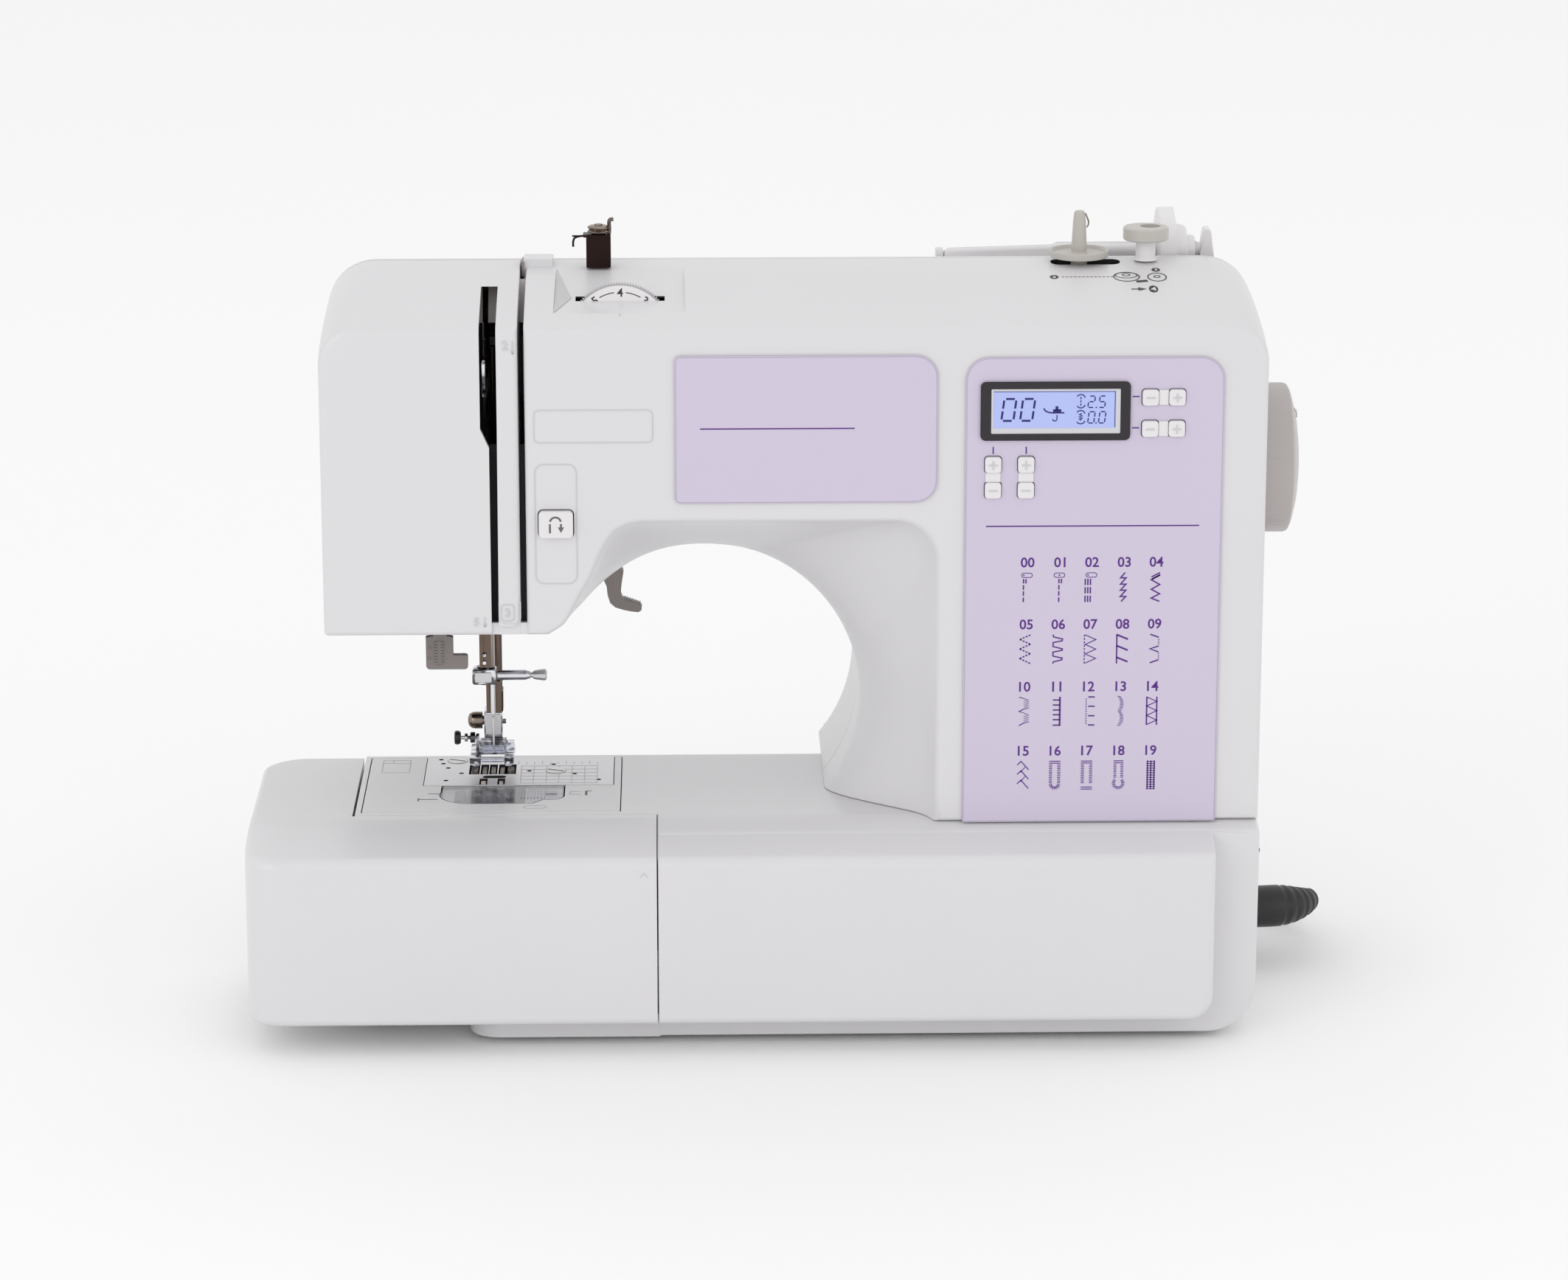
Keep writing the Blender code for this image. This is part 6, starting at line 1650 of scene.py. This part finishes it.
def stage():
    """Pale floor, soft lights, and the camera at its standing place in front of the machine."""
    floor = bpy.data.meshes.new("floor")
    reach = 12.0
    floor.from_pydata([(-reach, -reach, 0), (reach, -reach, 0), (reach, reach, 0), (-reach, reach, 0)], [],
                      [(0, 1, 2, 3)])
    ground = place("floor", floor)
    paint = Finish("pale_floor", Roughness=0.9, Specular_IOR_Level=0.1)
    paint.feed("Base Color", paint.mixed(paint.noise(2), (0.985, 0.985, 0.985), (0.995, 0.995, 0.995)))
    floor.materials.append(paint.material)

    world = bpy.data.worlds.new("studio")
    world.use_nodes = True
    world.node_tree.nodes["Background"].inputs["Color"].default_value = (1, 1, 1, 1)
    world.node_tree.nodes["Background"].inputs["Strength"].default_value = 0.91
    bpy.context.scene.world = world
    bpy.context.scene.view_settings.view_transform = "Standard"
    for name, spot, size, power in (("key", (-1.7, -2.2, 1.3), 1.6, 9), ("fill", (2.2, -2.2, 0.9), 2.0, 6),
                                    ("top", (0.1, 0.9, 2.6), 2.4, 2)):
        lamp = bpy.data.lights.new(name, "AREA")
        lamp.size = size
        lamp.energy = power
        holder = place(name, lamp)
        holder.location = spot
        holder.rotation_mode = "QUATERNION"
        holder.rotation_quaternion = (Vector((0, 0, 0.12)) - Vector(spot)).to_track_quat("-Z", "Y")

    lens = bpy.data.cameras.new("camera")
    lens.lens = 115.1
    lens.sensor_width = 36
    lens.clip_end = 50
    camera = place("camera", lens)
    camera.location = Vector((-40.06, -1928.8, 660.7)) * MM
    pitch, yaw = math.radians(15), math.radians(1.3)
    heading = Vector((math.sin(yaw) * math.cos(pitch), math.cos(yaw) * math.cos(pitch), -math.sin(pitch)))
    camera.rotation_mode = "QUATERNION"
    camera.rotation_quaternion = heading.to_track_quat("-Z", "Y")
    bpy.context.scene.camera = camera


# ---- operators

def looks_of(context):
    """The scene's settings."""
    return context.scene.sewing_looks


class SEWING_OT_finishes(bpy.types.Operator):
    """Make every finish and give each frame node its own"""
    bl_idname = "sewing.finishes"
    bl_label = "Finishes"

    def execute(self, context):
        make_finishes(looks_of(context))
        finish_nodes()
        return {"FINISHED"}


class SEWING_OT_stage(bpy.types.Operator):
    """Floor, lights and camera"""
    bl_idname = "sewing.stage"
    bl_label = "Stage"

    def execute(self, context):
        stage()
        return {"FINISHED"}


class SEWING_OT_mains_lead(bpy.types.Operator):
    """Connector, cord with its coil, tie and plug"""
    bl_idname = "sewing.mains_lead"
    bl_label = "Mains lead"

    def execute(self, context):
        mains_lead(looks_of(context))
        return {"FINISHED"}


class SEWING_OT_housings(bpy.types.Operator):
    """Front and rear housing and the face cover"""
    bl_idname = "sewing.housings"
    bl_label = "Housings"

    def execute(self, context):
        edge = looks_of(context).edge_radius / MM
        front_housing(edge)
        rear_housing()
        face_cover(edge)
        return {"FINISHED"}


class SEWING_OT_base(bpy.types.Operator):
    """Base with the free arm, and the extension table"""
    bl_idname = "sewing.base"
    bl_label = "Base and table"

    def execute(self, context):
        base_housing()
        accessory_table()
        return {"FINISHED"}


class SEWING_OT_panels(bpy.types.Operator):
    """Printed panels, display and stitch chart"""
    bl_idname = "sewing.panels"
    bl_label = "Panels and display"

    def execute(self, context):
        lift = looks_of(context).print_lift / MM
        panels(lift)
        display(lift)
        stitch_chart(lift)
        return {"FINISHED"}


class SEWING_OT_keys(bpy.types.Operator):
    """Keys, reverse key and raised marks"""
    bl_idname = "sewing.keys"
    bl_label = "Keys and raised marks"

    def execute(self, context):
        keys(looks_of(context).print_lift / MM)
        head_marks()
        return {"FINISHED"}


class SEWING_OT_top(bpy.types.Operator):
    """Dial, thread guide, bobbin winder, spool holder and handle"""
    bl_idname = "sewing.top"
    bl_label = "Top fittings"

    def execute(self, context):
        lift = looks_of(context).print_lift / MM
        tension_dial(lift)
        thread_guide()
        winder()
        winder_print(lift)
        spool_holder()
        carry_handle()
        return {"FINISHED"}


class SEWING_OT_handwheel(bpy.types.Operator):
    """Handwheel"""
    bl_idname = "sewing.handwheel"
    bl_label = "Handwheel"

    def execute(self, context):
        handwheel()
        return {"FINISHED"}


class SEWING_OT_needle(bpy.types.Operator):
    """Needle bar group and presser foot group"""
    bl_idname = "sewing.needle"
    bl_label = "Needle and presser foot"

    def execute(self, context):
        needle_parts()
        presser_parts()
        return {"FINISHED"}


class SEWING_OT_levers(bpy.types.Operator):
    """Presser, buttonhole and take-up levers"""
    bl_idname = "sewing.levers"
    bl_label = "Levers"

    def execute(self, context):
        levers()
        return {"FINISHED"}


class SEWING_OT_bed(bpy.types.Operator):
    """Needle plate, feed dog, surround, cover and bobbin parts"""
    bl_idname = "sewing.bed"
    bl_label = "Bed and bobbin parts"

    def execute(self, context):
        lift = looks_of(context).print_lift / MM
        needle_plate(lift)
        plate_surround(lift)
        bobbin_parts()
        return {"FINISHED"}


class SEWING_OT_feet(bpy.types.Operator):
    """Rubber feet and the power switch"""
    bl_idname = "sewing.feet"
    bl_label = "Feet and switch"

    def execute(self, context):
        feet()
        return {"FINISHED"}


STEPS = (
    SEWING_OT_finishes,
    SEWING_OT_stage,
    SEWING_OT_mains_lead,
    SEWING_OT_housings,
    SEWING_OT_base,
    SEWING_OT_panels,
    SEWING_OT_keys,
    SEWING_OT_top,
    SEWING_OT_handwheel,
    SEWING_OT_needle,
    SEWING_OT_levers,
    SEWING_OT_bed,
    SEWING_OT_feet,
)


class SEWING_PT_panel(bpy.types.Panel):
    """The settings and the steps, in the order they run"""
    bl_idname = "SEWING_PT_panel"
    bl_label = "Sewing Machine"
    bl_space_type = "VIEW_3D"
    bl_region_type = "UI"
    bl_category = "Sewing"

    def draw(self, context):
        """List the settings and the operators."""
        looks = looks_of(context)
        for key in looks.bl_rna.properties.keys():
            if key not in ("rna_type", "name"):
                self.layout.prop(looks, key)
        for step in STEPS:
            self.layout.operator(step.bl_idname)


CLASSES = (SewingLooks, *STEPS, SEWING_PT_panel)


def register():
    """Make the classes and the settings known."""
    for cls in CLASSES:
        bpy.utils.register_class(cls)
    bpy.types.Scene.sewing_looks = PointerProperty(type=SewingLooks)


def unregister():
    """Take them away again."""
    del bpy.types.Scene.sewing_looks
    for cls in reversed(CLASSES):
        bpy.utils.unregister_class(cls)


def main():
    """Build everything."""
    register()
    for step in STEPS:
        group, name = step.bl_idname.split(".")
        getattr(getattr(bpy.ops, group), name)()
    bpy.context.view_layer.update()


if __name__ == "__main__":
    main()
